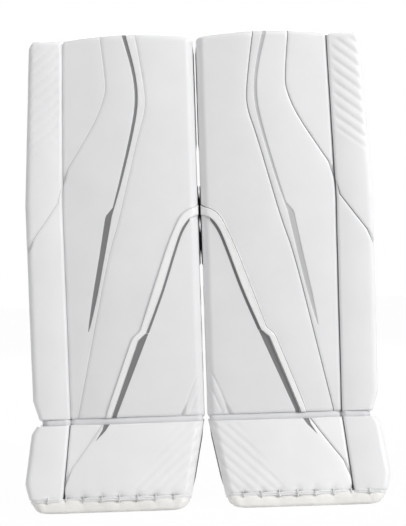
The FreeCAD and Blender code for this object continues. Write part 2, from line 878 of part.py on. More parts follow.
def make_buckle_strap():
    """Short strap from the inner edge that is looped round the buckle's heel bar."""
    body = new_body("buckle_strap")
    thick = S.strap_thickness
    far = -S.calf_wing_inset - thick
    near = far - thick
    bend = S.chape_bend
    turn = bend - thick
    front, back = HEEL_Y - thick / 2, HEEL_Y + thick / 2
    width = S.ankle_strap_width
    upright(
        body,
        ANKLE_BOTTOM,
        width,
        [
            (near, LINER_FRONT),
            (far, LINER_FRONT),
            (far, back - bend, QUARTER),
            (far - bend, back),
            (HEEL_X, back),
            (HEEL_X, front),
            (near - turn, front, -QUARTER),
            (near, front - turn),
        ],
    )
    upright(body, ANKLE_BOTTOM, width, ("circle", HEEL_X, HEEL_Y, LOOP_RADIUS))
    upright_hole = ("circle", HEEL_X, HEEL_Y, S.bar_radius + S.running_gap / 2)
    cut(body, "XY_Plane", upright_hole)
    notch = S.prong_thickness / 2 + 2 * S.fit_gap
    level = S.ankle_height
    clear = LOOP_RADIUS + S.prong_thickness
    notch_box = rectangle(HEEL_X - clear, level - notch, HEEL_X + clear, level + notch)
    cut(body, "XZ_Plane", notch_box)
    add_node("buckle_strap", body, "shin")


def make_buckle_frame():
    """Two side plates joined by the heel bar and the bar that carries the roller."""
    body = new_body("buckle_frame")
    low = BUCKLE_INSIDE - S.side_plate
    full = BUCKLE_SPAN + 2 * S.side_plate
    edge = ROLLER_RADIUS
    plate = [
        (ROLLER_X - edge, ROLLER_Y - edge),
        (ROLLER_X, ROLLER_Y - edge),
        (HEEL_X - edge, HEEL_Y - edge),
        (HEEL_X, HEEL_Y - edge, 1),
        (HEEL_X, HEEL_Y + edge),
        (ROLLER_X + edge, ROLLER_Y + edge),
        (ROLLER_X, ROLLER_Y + edge, QUARTER),
        (ROLLER_X - edge, ROLLER_Y),
    ]
    upright(body, low, full, ("circle", HEEL_X, HEEL_Y, S.bar_radius))
    upright(body, low, S.side_plate, plate)
    upright(body, BUCKLE_INSIDE + BUCKLE_SPAN, S.side_plate, plate)
    upright(body, low, full, ("circle", ROLLER_X, ROLLER_Y, S.bar_radius))
    add_node("buckle_frame", body, "shin")


def make_buckle_roller():
    """Tube that turns on the buckle's front bar."""
    body = new_body("buckle_roller")
    inside = S.bar_radius + S.running_gap
    upright(
        body,
        BUCKLE_INSIDE + S.fit_gap,
        BUCKLE_SPAN - 2 * S.fit_gap,
        ("circle", ROLLER_X, ROLLER_Y, ROLLER_RADIUS),
        ("circle", ROLLER_X, ROLLER_Y, inside),
    )
    add_node("buckle_roller", body, "buckle_roller")


def make_buckle_prong():
    """Prong that turns on the heel bar and rests on the roller."""
    body = new_body("buckle_prong")
    thick = S.prong_thickness
    low = S.ankle_height - thick / 2
    reach = S.buckle_length + ROLLER_RADIUS + 2
    angle = math.radians(prong_angle())
    along = V(math.cos(angle), math.sin(angle), 0)
    side = V(-along.y, along.x, 0)
    half = thick / 2
    ring = S.bar_radius + S.running_gap + S.strap_thickness / 2

    def corner(distance, offset):
        return (
            HEEL_X + distance * along.x + offset * side.x,
            HEEL_Y + distance * along.y + offset * side.y,
        )

    upright(body, low, thick, ("circle", HEEL_X, HEEL_Y, ring))
    start = as_size(0)
    outline = [corner(reach, half), corner(reach, -half), corner(start, -half), corner(start, half)]
    upright(body, low, thick, outline)
    cut(body, "XY_Plane", ("circle", HEEL_X, HEEL_Y, S.bar_radius + S.running_gap))
    add_node("buckle_prong", body, "buckle_prong")


# ------------------------------------------------------------------ boot section


def cut_boot_mitre(body):
    """Cuts the boot's upper end along the break."""
    far = 60
    relief = -S.hinge_relief
    cut(
        body,
        "YZ_Plane",
        [
            (HALF - 2 * far, relief - 2 * far * MITRE),
            (HALF, relief),
            (HALF + far, relief),
            (HALF + far, 20),
            (HALF - 2 * far, 20),
        ],
    )


def cut_floor(body):
    """Cuts a boot piece level with the floor that the pad stands on."""
    far = 90
    cut(
        body,
        "YZ_Plane",
        [
            (HALF - far, -S.boot_heel - far * FLOOR_SLOPE),
            (HALF - far, -2 * S.boot_heel),
            (HALF + far, -2 * S.boot_heel),
            (HALF + far, -S.boot_heel + far * FLOOR_SLOPE),
        ],
    )


def make_boot_cover():
    """White skin and face foam of the boot: a shell, open at the back."""
    body = new_body("boot_cover")
    wall = S.cover_wall
    loft(
        body,
        "PartDesign::AdditiveLoft",
        [
            (0, face_section(0, HALF)),
            (-S.toe_seam, face_section(0, HALF, -S.boot_skew, S.toe_narrowing)),
        ],
    )
    loft(
        body,
        "PartDesign::SubtractiveLoft",
        [
            (0, face_section(wall, HALF + 2)),
            (-S.toe_seam, face_section(wall, HALF + 2, -S.boot_skew, S.toe_narrowing)),
        ],
    )
    cut_boot_mitre(body)
    add_node("boot_cover", body, "boot")


def make_boot_core():
    """Foam block that fills the boot cover."""
    body = new_body("boot_core")
    inset = S.cover_wall + S.fit_gap
    loft(
        body,
        "PartDesign::AdditiveLoft",
        [
            (0, face_section(inset, HALF)),
            (-S.toe_seam, face_section(inset, HALF, -S.boot_skew, S.toe_narrowing)),
        ],
    )
    cut_boot_mitre(body)
    add_node("boot_core", body, "boot")


def make_boot_roll():
    """Outer roll of the boot, flared towards the toe, with slanted corners."""
    body = new_body("boot_outer_roll")
    loft(
        body,
        "PartDesign::AdditiveLoft",
        [
            (0, roll_section(back=HALF)),
            (-S.toe_seam, roll_section(-S.boot_flare, -S.boot_skew, back=HALF)),
        ],
    )
    cut_boot_mitre(body)
    far = OUTER - S.boot_flare - 2
    toe_edge = OUTER - S.boot_flare + S.toe_corner_width
    cut(
        body,
        "XZ_Plane",
        [
            (far, S.boot_corner_width - S.boot_corner_drop),
            (far, -S.boot_corner_drop - S.boot_corner_width),
            (OUTER - 1, -S.boot_corner_drop - S.boot_corner_width),
            (OUTER + S.boot_corner_width, S.boot_corner_width - S.boot_corner_drop),
        ],
        [
            (far, -S.toe_seam + S.toe_corner_rise),
            (far, -S.toe_seam - 1),
            (toe_edge, -S.toe_seam - 1),
            (toe_edge - S.toe_corner_width, -S.toe_seam + S.toe_corner_rise),
        ],
    )
    add_node("boot_outer_roll", body, "boot")


def make_toe_roll():
    """Bound roll round the toe end; its flat underside is the foot of the pad."""
    body = new_body("toe_roll")
    seam = -S.toe_seam - S.fit_gap
    front = -HALF - S.face_crown
    start = OUTER - S.boot_flare + S.toe_corner_width
    length = -start - S.toe_narrowing
    turn = S.toe_round
    floor_front = -S.boot_heel - (HALF - front - turn) * FLOOR_SLOPE
    bar(
        body,
        start,
        length,
        [
            (-HALF, seam),
            (front, seam - S.face_crown),
            (front, floor_front + turn, QUARTER),
            (front + turn, floor_front),
            (HALF, -S.boot_heel),
            (HALF, seam),
        ],
    )
    low = -S.boot_heel - S.core_depth * FLOOR_SLOPE - 6
    top = low + S.toe_corner_rise + 6
    slant = S.toe_corner_width
    cut(
        body,
        "XZ_Plane",
        [(start - 1, low), (start + slant, low), (start - 1, top)],
        [
            (-S.toe_narrowing - slant, low),
            (-S.toe_narrowing + 1, low),
            (-S.toe_narrowing + 1, top),
        ],
    )
    add_node("toe_roll", body, "boot")


def make_toe_lacing():
    """Lace loops that draw the toe roll up to the face, evenly spaced along the seam."""
    loops = []
    count = int(S.lace_count.value)
    start = OUTER - S.boot_flare + S.toe_corner_width + S.lace_inset
    span = -start - S.toe_narrowing - S.lace_inset
    for i in range(count):
        loop = DOC.addObject("Part::Cylinder", "lace_loop")
        bind(loop, "Radius", S.lace_radius)
        bind(loop, "Height", S.lace_length)
        bind(loop, "Placement.Base.x", start + span * ((i + 0.5) / count))
        bind(loop, "Placement.Base.y", -HALF - S.face_crown - S.lace_radius - S.fit_gap)
        bind(loop, "Placement.Base.z", -S.toe_seam - S.lace_length / 2)
        loops.append(loop)
    add_node("toe_lacing", compound("toe_lacing", loops), "boot")


def make_boot_liner():
    """Padded channel behind the boot, which takes the skate and widens the foot."""
    body = new_body("boot_liner")
    front = PANEL_FRONT
    back = front + S.boot_liner_depth
    floor = back - S.boot_channel_depth
    slope = S.boot_channel_slope
    outer = OUTER + S.boot_liner_outer
    upright(
        body,
        -S.boot_liner_top - S.boot_heel,
        S.boot_heel,
        [
            (outer, front),
            (-S.boot_liner_inner, front),
            (-S.boot_liner_inner, back),
            (slope - S.boot_channel_inner, back),
            (-S.boot_channel_inner, floor),
            (BOOT_CHANNEL_OUTER, floor),
            (BOOT_CHANNEL_OUTER - slope, back),
            (outer, back),
        ],
    )
    cut_floor(body)
    fillet(body, S.liner_round, lambda e: is_along(e, V(1, 0, 0)) and is_rim(e))
    add_node("boot_liner", body, "boot")


def is_rim(edge):
    """True for the boot liner's upper back edges."""
    centre = edge.CenterOfMass
    raised = PANEL_FRONT + S.boot_liner_depth - S.boot_channel_depth / 2
    return centre.z > -S.boot_liner_top.value - 1 and centre.y > raised.value


def make_toe_bridge():
    """Moulded tab behind the toe, with the eyelet for the toe tie."""
    body = new_body("toe_bridge")
    middle = (BOOT_CHANNEL_OUTER - S.boot_channel_inner) / 2
    half = S.bridge_width / 2
    front = PANEL_FRONT + S.boot_liner_depth - S.boot_channel_depth + S.fit_gap
    end = front + S.bridge_length
    corner = S.bridge_corner
    upright(
        body,
        -S.bridge_height - S.bridge_thickness,
        S.bridge_thickness,
        [
            (middle - half, front),
            (middle + half, front),
            (middle + half, end - corner, QUARTER),
            (middle + half - corner, end),
            (middle - half + corner, end, QUARTER),
            (middle - half, end - corner),
        ],
    )
    cut(body, "XY_Plane", ("circle", middle, end - S.eyelet_edge, S.eyelet_radius))
    add_node("toe_bridge", body, "boot")


# ------------------------------------------------------------------ assembly


def frame_of(section):
    """Placement that stands a section of the right pad on the floor."""
    turn = S.lean.value - (S.boot_angle.value if section == "boot" else 0)
    hinge_height = S.boot_heel.value * math.cos(math.radians(BOOT_TILT.value))
    hinge = V(-S.pair_gap.value / 2, -S.hinge_forward.value, hinge_height)
    rotation = FreeCAD.Rotation(V(1, 0, 0), turn)
    return FreeCAD.Placement(hinge - rotation.multVec(V(0, HALF.value, 0)), rotation)


def make_pad():
    """All sub-parts of the right pad."""
    make_shin_cover()
    make_shin_core()
    make_shin_roll()
    make_back_panel()
    make_top_binding()
    make_calf_channel()
    make_knee_block()
    make_thigh_liner()
    outer_wing = ROLL_SIDE + S.outer_wing_gap
    calf = (S.calf_wing_bottom, S.calf_wing_top)
    knee = (KNEE_WING_BOTTOM, KNEE_WING_TOP)
    make_wing("inner_calf_wing", -S.calf_wing_inset, 1, *calf)
    make_wing("outer_calf_wing", outer_wing, -1, *calf)
    make_wing("inner_knee_wing", S.knee_wing_bulge, 1, *knee)
    make_wing("outer_knee_wing", outer_wing, -1, *knee)
    make_strap("lower_calf_strap", S.lower_calf_height, S.calf_strap_width)
    make_strap("upper_calf_strap", S.upper_calf_height, S.calf_strap_width)
    make_strap("knee_strap", KNEE_LEVEL, S.knee_strap_width)
    make_thigh_strap()
    make_strap_anchors()
    make_strap_rivets()
    make_ankle_strap()
    make_buckle_strap()
    make_buckle_frame()
    make_buckle_roller()
    make_buckle_prong()
    make_boot_cover()
    make_boot_core()
    make_boot_roll()
    make_toe_roll()
    make_toe_lacing()
    make_boot_liner()
    make_toe_bridge()


def stand_and_mirror():
    """Stands the right pad up and mirrors each sub-part for the left pad."""
    finished = []
    for label, thing, section in nodes:
        thing.Placement = frame_of(section)
        mirrored = DOC.addObject("Part::Mirroring", "left_" + label)
        mirrored.Source = thing
        mirrored.Normal = V(1, 0, 0)
        thing.Label = "right_" + label
        mirrored.Label = "left_" + label
        finished += [thing, mirrored]
    DOC.recompute()
    return finished


def export(finished):
    """Checks every sub-part and writes its STEP file."""
    for thing in DOC.Objects:
        check_state(thing)
    for thing in finished:
        if thing.Shape.isNull() or not thing.Shape.isValid():
            raise RuntimeError("%s has no valid shape" % thing.Label)
    os.makedirs("parts", exist_ok=True)
    for thing in finished:
        thing.Shape.exportStep("parts/%s.step" % thing.Label)


make_pad()
export(stand_and_mirror())
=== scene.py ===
"""Looks of a pair of ice-hockey goalie leg pads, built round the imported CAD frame.

Soft pieces are made in the pad frame of the CAD model, in millimetres: X across the
pad, 0 at its inner edge and negative outwards; Y from the face to the leg, 0 half way
through the core; Z up, 0 at the break hinge.  Each is made once, for the goalie's
right pad, and mirrored for the left one.
"""

import json
import math

import bmesh
import bpy
import numpy as np
from mathutils import Matrix, Vector
from mathutils.geometry import delaunay_2d_cdt


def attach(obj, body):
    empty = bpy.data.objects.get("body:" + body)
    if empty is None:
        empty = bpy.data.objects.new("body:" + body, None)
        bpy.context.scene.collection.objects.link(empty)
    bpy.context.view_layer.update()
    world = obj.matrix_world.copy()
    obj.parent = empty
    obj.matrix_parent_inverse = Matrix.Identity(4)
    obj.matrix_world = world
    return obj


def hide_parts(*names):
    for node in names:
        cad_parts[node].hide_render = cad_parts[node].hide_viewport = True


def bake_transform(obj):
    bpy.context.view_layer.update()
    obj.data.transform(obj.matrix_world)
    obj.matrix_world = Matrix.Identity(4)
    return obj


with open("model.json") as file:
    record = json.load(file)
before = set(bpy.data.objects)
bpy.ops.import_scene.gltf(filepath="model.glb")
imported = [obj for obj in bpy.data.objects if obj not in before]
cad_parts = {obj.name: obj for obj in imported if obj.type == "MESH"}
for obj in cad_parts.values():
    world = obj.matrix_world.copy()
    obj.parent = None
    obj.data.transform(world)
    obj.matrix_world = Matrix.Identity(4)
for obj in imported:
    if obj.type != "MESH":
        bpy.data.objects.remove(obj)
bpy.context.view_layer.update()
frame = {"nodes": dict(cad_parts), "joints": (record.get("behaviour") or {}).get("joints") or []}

SIDES = ("right", "left")

# Sizes that the soft pieces share with the CAD model, in millimetres and degrees.
WIDTH = 279.0
FACE_SIDE = -218.4
ROLL_SIDE = -219.6
HALF = 23.0
ROLL_BACK = 35.0
SHIN_TOP = 632.0
TOP_ARCH = 7.0
TAPER_START = 360.0
SEAM_TAPER = 10.0
OUTER_TAPER = 17.0
MITRE = math.tan(math.radians(13.5))
RELIEF = 0.4
BEVEL = 10.0
CROWN = 7.0
ROLL_CROWN = 1.5
ROLL_LIFT = 3.4
SHOULDER = 3.2
ROLL_ROUND = 10.0
ROLL_RISE = 5.0
TOE_SEAM = 133.0
BOOT_HEEL = 143.5
SKEW = 14.0
NARROWING = 26.0
FLARE = 19.0
TOE_CORNER = 11.0
LACE_INSET = 14.0
LEAN = {"shin": 3.0, "boot": -15.0, "middle": -6.0}
FLOOR_SLOPE = math.tan(math.radians(15.0))

# How skins are meshed: rows over a rounded end, as shares of its radius, and how far in
# millimetres the grid, those rows and the rounded ends keep from a line or from each other.
ROUND_ROWS = (0.04, 0.16, 0.36, 0.64, 1.0)
GRID_CLEAR = 1.1
ROW_CLEAR = 0.8
END_CLEAR = 1.5
BESIDE_SEAM = 1.3
BISECTIONS = 24

HINGE = next(j for j in frame["joints"] if j["name"] == "right_boot_flex")["pos_m"]
HINGE = np.array([-2.5, HINGE[1] * 1000.0, HINGE[2] * 1000.0])


def to_row(points, section, side):
    """Pad-frame millimetres to row-frame metres."""
    p = np.asarray(points, float) - (0.0, HALF, 0.0)
    a = math.radians(LEAN[section])
    y = p[:, 1] * math.cos(a) - p[:, 2] * math.sin(a)
    z = p[:, 1] * math.sin(a) + p[:, 2] * math.cos(a)
    out = np.column_stack([p[:, 0], y, z]) + HINGE
    if side == "left":
        out[:, 0] *= -1
    return out / 1000.0


def add_mesh(name, points, faces, materials, face_materials=None):
    """A smooth-shaded mesh object in row-frame metres."""
    mesh = bpy.data.meshes.new(name)
    mesh.from_pydata([tuple(p) for p in points], [], [tuple(int(i) for i in f) for f in faces])
    for material in materials:
        mesh.materials.append(material)
    if face_materials is not None:
        mesh.polygons.foreach_set("material_index", np.asarray(face_materials, np.int32))
    mesh.polygons.foreach_set("use_smooth", [True] * len(mesh.polygons))
    mesh.validate()
    obj = bpy.data.objects.new(name, mesh)
    bpy.context.collection.objects.link(obj)
    return obj


# ------------------------------------------------------------------ materials


def assign(thing, **settings):
    """The thing, with its settings set."""
    for name, value in settings.items():
        setattr(thing, name, value)
    return thing


def add_node(tree, kind, inputs, **settings):
    """A node; each input is a value or the socket that feeds it."""
    node = assign(tree.nodes.new("ShaderNode" + kind), **settings)
    for name, value in inputs.items():
        if isinstance(value, bpy.types.NodeSocket):
            tree.links.new(value, node.inputs[name])
        else:
            node.inputs[name].default_value = value
    return node


def new_tree(block):
    """The empty node tree of a new material or world."""
    block.use_nodes = True
    block.node_tree.nodes.clear()
    return block.node_tree


def new_material(name):
    """A material, its empty node tree and object coordinates in metres."""
    material = bpy.data.materials.new(name)
    tree = new_tree(material)
    return material, tree, add_node(tree, "TexCoord", {}).outputs["Object"]


def add_noise(tree, coords, scale, detail=2.0):
    """A noise texture's value."""
    return add_node(tree, "TexNoise", {"Scale": scale, "Detail": detail, "Vector": coords}).outputs["Fac"]


def add_tint(tree, value, colour, low, high):
    """A colour that goes from darker to lighter with a value."""
    ramp = add_node(tree, "ValToRGB", {"Fac": value})
    for element, place, factor in zip(ramp.color_ramp.elements, (0.3, 0.7), (low, high)):
        element.position = place
        element.color = (*(min(1.0, c * factor) for c in colour), 1.0)
    return ramp.outputs["Color"]


def add_range(tree, value, low, high):
    """A value from 0 to 1 spread between two others."""
    return add_node(tree, "MapRange", {"To Min": low, "To Max": high, "Value": value}).outputs["Result"]


def add_bump(tree, heights, distance, strength):
    """A normal bumped by one height, or by two added together."""
    total = heights[0]
    for height in heights[1:]:
        total = add_node(tree, "Math", {0: total, 1: height}).outputs[0]
    bump = {"Distance": distance, "Strength": strength, "Height": total}
    return add_node(tree, "Bump", bump).outputs["Normal"]


def add_surface(material, looks):
    """The material, with a Principled shader of these looks."""
    shader = add_node(material.node_tree, "BsdfPrincipled", looks)
    add_node(material.node_tree, "OutputMaterial", {"Surface": shader.outputs["BSDF"]})
    return material


def leather(name, colour, roughness, grain, variation, coat=0.0):
    """Coated leather: cell grain, faint blotches, and roughness that varies."""
    material, tree, coords = new_material(name)
    cells = add_node(tree, "TexVoronoi", {"Scale": 900.0, "Vector": coords}).outputs["Distance"]
    blotch, wear = (add_noise(tree, coords, scale, 3.0) for scale in (14.0, 40.0))
    looks = {
        "Base Color": add_tint(tree, blotch, colour, 1 - variation, 1 + variation),
        "Roughness": add_range(tree, wear, roughness - 0.06, roughness + 0.08),
        "Specular IOR Level": 0.45,
        "Normal": add_bump(tree, [cells, add_noise(tree, coords, 2200.0)], 0.00025, grain),
    }
    if coat:
        looks.update({"Coat Weight": coat, "Coat Roughness": 0.3})
    return add_surface(material, looks)


def woven(name, colour, roughness, pitch, sheen, strength):
    """Plain weave: two crossed bands, with yarn-to-yarn colour variation."""
    material, tree, coords = new_material(name)
    wave = {"Scale": math.pi / (10.0 * pitch), "Distortion": 0.4, "Detail": 1.0, "Vector": coords}
    heights = [add_node(tree, "TexWave", wave, bands_direction=way).outputs["Fac"] for way in ("X", "Z")]
    looks = {
        "Base Color": add_tint(tree, add_noise(tree, coords, 60.0, 4.0), colour, 0.7, 1.35),
        "Roughness": roughness,
        "Sheen Weight": sheen,
        "Sheen Roughness": 0.5,
        "Normal": add_bump(tree, heights, 0.0004, strength),
    }
    return add_surface(material, looks)


def plastic(name, colour, roughness):
    """Moulded plastic, or thread, with a fine texture."""
    material, tree, coords = new_material(name)
    looks = {
        "Base Color": add_tint(tree, add_noise(tree, coords, 30.0, 3.0), colour, 0.85, 1.15),
        "Roughness": roughness,
        "Normal": add_bump(tree, [add_noise(tree, coords, 1500.0)], 0.0002, 0.3),
    }
    return add_surface(material, looks)


def metal(name, colour, roughness):
    """Plated metal with faint polishing marks."""
    material, tree, coords = new_material(name)
    marks = add_noise(tree, coords, 250.0, 4.0)
    looks = {
        "Base Color": add_tint(tree, marks, colour, 0.85, 1.0),
        "Roughness": add_range(tree, marks, roughness - 0.08, roughness + 0.12),
        "Metallic": 1.0,
    }
    return add_surface(material, looks)


WHITE_FACE = leather("white_face_leather", (0.80, 0.80, 0.81), 0.36, 0.22, 0.02, 0.15)
WHITE_ROLL = leather("white_roll_leather", (0.84, 0.84, 0.85), 0.34, 0.22, 0.02, 0.15)
WHITE_BOOT = leather("white_boot_leather", (0.85, 0.85, 0.855), 0.36, 0.22, 0.02, 0.15)
WHITE_BAND = leather("white_band_leather", (0.89, 0.89, 0.885), 0.3, 0.16, 0.02, 0.25)
WHITE_TOE = leather("white_toe_leather", (0.87, 0.86, 0.835), 0.42, 0.30, 0.04)
DARK_INLAY = leather("dark_grey_inlay", (0.20, 0.20, 0.205), 0.35, 0.2, 0.05)
# A paler copy of the grey inlay, for the left pad's stripe only: painted light.
LIT_INLAY = leather("lit_grey_inlay", (0.52, 0.52, 0.53), 0.35, 0.2, 0.04)
# The two seam colours are lit and shaded copies of one seam: the dark one is painted shade, used on the
# left pad and in the webs, the pale one is painted light, used on the right pad.
SEAM_SHADED = leather("seam_shaded", (0.16, 0.16, 0.165), 0.5, 0.2, 0.05)
SEAM_LIT = leather("seam_lit", (0.60, 0.60, 0.60), 0.45, 0.2, 0.05)
STITCH_WHITE = plastic("white_thread", (0.78, 0.78, 0.78), 0.5)
LACE_WHITE = woven("lace_white", (0.80, 0.80, 0.78), 0.6, 0.0009, 0.3, 0.6)
BLACK_NYLON = woven("black_nylon", (0.016, 0.016, 0.018), 0.62, 0.0013, 0.35, 0.35)
BLACK_WEBBING = woven("black_webbing", (0.012, 0.012, 0.013), 0.55, 0.0020, 0.25, 0.5)
BLACK_LEATHER = leather("black_leather", (0.014, 0.014, 0.015), 0.38, 0.5, 0.3, 0.1)
BLACK_PLASTIC = plastic("black_plastic", (0.02, 0.02, 0.022), 0.45)
STEEL = metal("nickel_plate", (0.72, 0.71, 0.69), 0.24)
# The gusset's grey, darker than the face, is painted shade of the break's crease.
GUSSET = leather("gusset_leather", (0.74, 0.74, 0.76), 0.5, 0.3, 0.03)
THREAD = plastic("thread", (0.05, 0.05, 0.055), 0.5)


# ------------------------------------------------------------------ padded skins


def unit(vectors):
    """Vectors scaled to length 1."""
    return vectors / np.maximum(np.linalg.norm(vectors, axis=-1, keepdims=True), 1e-12)


def closed(path):
    """A line that ends at its first point."""
    return np.vstack([path, path[:1]])


def lengths(path):
    """How far along a line each of its points lies."""
    return np.concatenate([[0.0], np.cumsum(np.linalg.norm(np.diff(path, axis=0), axis=1))])


def along(at, length, rows):
    """Rows interpolated at some lengths."""
    return np.column_stack([np.interp(at, length, column) for column in rows.T])


def smooth_profile(points, sigma, is_closed):
    """A plan profile resampled every millimetre or so, its corners rounded off."""
    points = np.asarray(points, float)
    if is_closed:
        points = closed(points)
    length = lengths(points)
    even = along(np.linspace(0, length[-1], max(8, int(round(length[-1]))) + 1), length, points)
    half = int(math.ceil(3 * sigma))
    kernel = np.exp(-0.5 * (np.arange(-half, half + 1) / sigma) ** 2)
    kernel /= kernel.sum()
    before, after = 2 * even[0] - even[half:0:-1], 2 * even[-1] - even[-2 : -half - 2 : -1]
    if is_closed:
        before, after = even[-half - 1 : -1], even[1 : half + 1]
    padded = np.vstack([before, even, after])
    return np.column_stack([np.convolve(column, kernel, "valid") for column in padded.T])


def arc(cx, cy, radius, start, end, count=8):
    """Points on an arc, in degrees."""
    angles = np.radians(np.linspace(start, end, count))
    return [(cx + radius * math.cos(a), cy + radius * math.sin(a)) for a in angles]


def crown_points(x0, x1, base, height):
    """A shallow crown between two corners of the front."""
    return [(x0 + (x1 - x0) * (k + 1) / 2, base - height * (1 - k * k)) for k in np.linspace(-1, 1, 24)]


def face_profile():
    """Face block: seam side, shoulder, crown, bevel and inner side."""
    front = arc(FACE_SIDE + 1.5, 1.5 - HALF, 1.5, 180, 270)
    crown = crown_points(FACE_SIDE + 1.5, -BEVEL, -HALF, CROWN)
    return [(FACE_SIDE, HALF), *front, *crown[1:], (0, BEVEL - HALF), (0, HALF)]


def roll_profile(back):
    """Outer roll: back, outer side, crowned front, shoulder and seam side."""
    turn, level = ROLL_ROUND, -HALF - ROLL_LIFT
    start, end = -WIDTH + turn, ROLL_SIDE - SHOULDER
    outer = arc(start, back - turn, turn, 90, 180)
    front = arc(start, turn + level - ROLL_RISE, turn, 180, 270)
    crown = crown_points(start, end, level, ROLL_CROWN)
    crown = [(x, y - ROLL_RISE * (end - x) / (end - start)) for x, y in crown]
    shoulder = arc(end, SHOULDER + level, SHOULDER, 270, 360)
    return [(ROLL_SIDE, back), *outer, *front, *crown[1:], *shoulder[1:]]


def chaikin(points, rounds=3):
    """A line with its corners cut, ends kept."""
    points = np.asarray(points, float)
    for _ in range(rounds):
        inner = np.empty((2 * len(points) - 2, 2))
        inner[0::2] = points[:-1] * 0.75 + points[1:] * 0.25
        inner[1::2] = points[:-1] * 0.25 + points[1:] * 0.75
        points = np.vstack([points[:1], inner[1:-1], points[-1:]])
    return points


def offset_line(points, distance):
    """A line moved sideways."""
    tangent = unit(np.gradient(points, axis=0))
    return points + np.column_stack([tangent[:, 1], -tangent[:, 0]]) * distance


def line_distance(points, line):
    """Distance of each point from a line."""
    best = np.full(len(points), 1e9)
    for a, b in zip(line[:-1], line[1:]):
        d = b - a
        t = np.clip(((points - a) @ d) / max(d @ d, 1e-12), 0, 1)
        best = np.minimum(best, np.linalg.norm(points - a - t[:, None] * d, axis=1))
    return best


def nearest(points, lines):
    """Distance of each point from the nearest of some lines."""
    return np.min([line_distance(points, line) for line in lines], axis=0)


def inside(points, ring):
    """Whether each point lies in a closed line."""
    result = np.zeros(len(points), bool)
    x, y = points.T
    for (x0, y0), (x1, y1) in zip(ring[:-1], ring[1:]):
        crosses = (y0 > y) != (y1 > y)
        with np.errstate(divide="ignore", invalid="ignore"):
            result ^= crosses & (x < (x1 - x0) * (y - y0) / (y1 - y0) + x0)
    return result


class Skin:
    """The outside of a padded block: a plan profile carried up the pad.

    warp holds (x_a, x_b, shift_a, shift_b), with the shifts as functions of z: the
    profile's x is moved by shift_a at x_a, by shift_b at x_b and in proportion between.
    """

    def __init__(self, profile, is_closed, low, high, rounds, warp, sigma=2.2):
        self.path = smooth_profile(profile, sigma, is_closed)
        self.closed, self.low, self.high, self.rounds, self.warp = is_closed, low, high, rounds, warp
        tangent = np.gradient(self.path, axis=0)
        if is_closed:
            tangent[0] = tangent[-1] = self.path[1] - self.path[-2]
        tangent = unit(tangent)
        self.normal = np.column_stack([tangent[:, 1], -tangent[:, 0]])
        self.p = lengths(self.path)
        front = np.where(self.normal[:, 1] < -0.3)[0]
        self.front = front[np.argsort(self.path[front, 0])]

    def shifts(self, z):
        xa, xb, sa, sb = self.warp
        a, b = sa(z), sb(z)
        return xa, (b - a) / (xb - xa), a

    def warped(self, x, z):
        xa, k, a = self.shifts(z)
        return x + a + k * (x - xa)

    def base(self, p):
        return along(p, self.p, self.path).T

    def ends(self, p):
        x, y = self.base(p)
        return self.low(x, y), self.high(x, y)

    def domain(self, line):
        """A front-view line of (x, z), as (p, z)."""
        x, z = np.asarray(line, float).T
        xa, k, a = self.shifts(z)
        x = (x - a + k * xa) / (1 + k)
        return np.column_stack([np.interp(x, self.path[self.front, 0], self.p[self.front]), z])

    def place(self, p, z, out):
        """Pad-frame points of domain points, pushed out by some millimetres."""
        x, y = self.base(p)
        n = unit(along(p, self.p, self.normal))
        low, high = self.ends(p)
        for distance, radius in ((z - low, self.rounds[0]), (high - z, self.rounds[1])):
            d = np.clip(distance, 0, radius)
            out = out - (radius - np.sqrt(np.maximum(radius**2 - (radius - d) ** 2, 0)))
        return np.column_stack([self.warped(x + n[:, 0] * out, z), y + n[:, 1] * out, z])


def triangulate(skin, step, lines):
    """Triangles over a skin's domain that keep its lines as edges."""
    total, (foot, head) = skin.p[-1], skin.rounds
    columns = np.linspace(0, total, int(total / step[0]) + 1)
    lows, highs = skin.ends(columns)

    def side(at):
        count = int((highs[at] - lows[at]) / step[1])
        z = np.linspace(lows[at], highs[at], count + 1)[1:-1]
        return np.column_stack([np.full(count - 1, columns[at]), z])

    left, right = side(0), side(-1)
    if skin.closed:
        right[:, 1] = left[:, 1]
    bottom, top = (np.column_stack([columns, ends]) for ends in (lows, highs))
    border = np.vstack([bottom, right, top[::-1], left[::-1]])
    kept = [bottom + (0.0, foot * share) for share in ROUND_ROWS]
    kept += [top - (0.0, head * share) for share in ROUND_ROWS]
    rows = []
    for z in np.linspace(lows.min(), highs.max(), int((highs.max() - lows.min()) / step[1]) + 1):
        good = (z > lows + foot + END_CLEAR) & (z < highs - head - END_CLEAR)
        good &= (columns > 0.5) & (columns < total - 0.5)
        rows.append(np.column_stack([columns[good], np.full(good.sum(), z)]))
    grid = np.vstack(rows)
    if lines:
        grid = grid[nearest(grid, lines) > GRID_CLEAR]
        kept = [row[nearest(row, lines) > ROW_CLEAR] for row in kept]
        kept = [part for row in kept for part in split_gaps(row, 3.0 * step[0])]
    else:
        kept = [row[1:-1] for row in kept]
    points, edges = list(border), [(i, (i + 1) % len(border)) for i in range(len(border))]
    for line in [*kept, *lines]:
        edges += [(len(points) + i, len(points) + i + 1) for i in range(len(line) - 1)]
        points += list(line)
    points = [Vector(p) for p in [*points, *grid]]
    verts, _, faces, *_ = delaunay_2d_cdt(points, edges, [], 1, 1e-3)
    return np.array([tuple(v) for v in verts]), [tuple(f) for f in faces]


def split_gaps(row, gap):
    """A row of points, cut where neighbours are far apart, its ends left off."""
    cuts = np.where(np.linalg.norm(np.diff(row, axis=0), axis=1) > gap)[0] + 1
    return [p for p in (part[1:-1] for part in np.split(row, cuts)) if len(p) > 1]


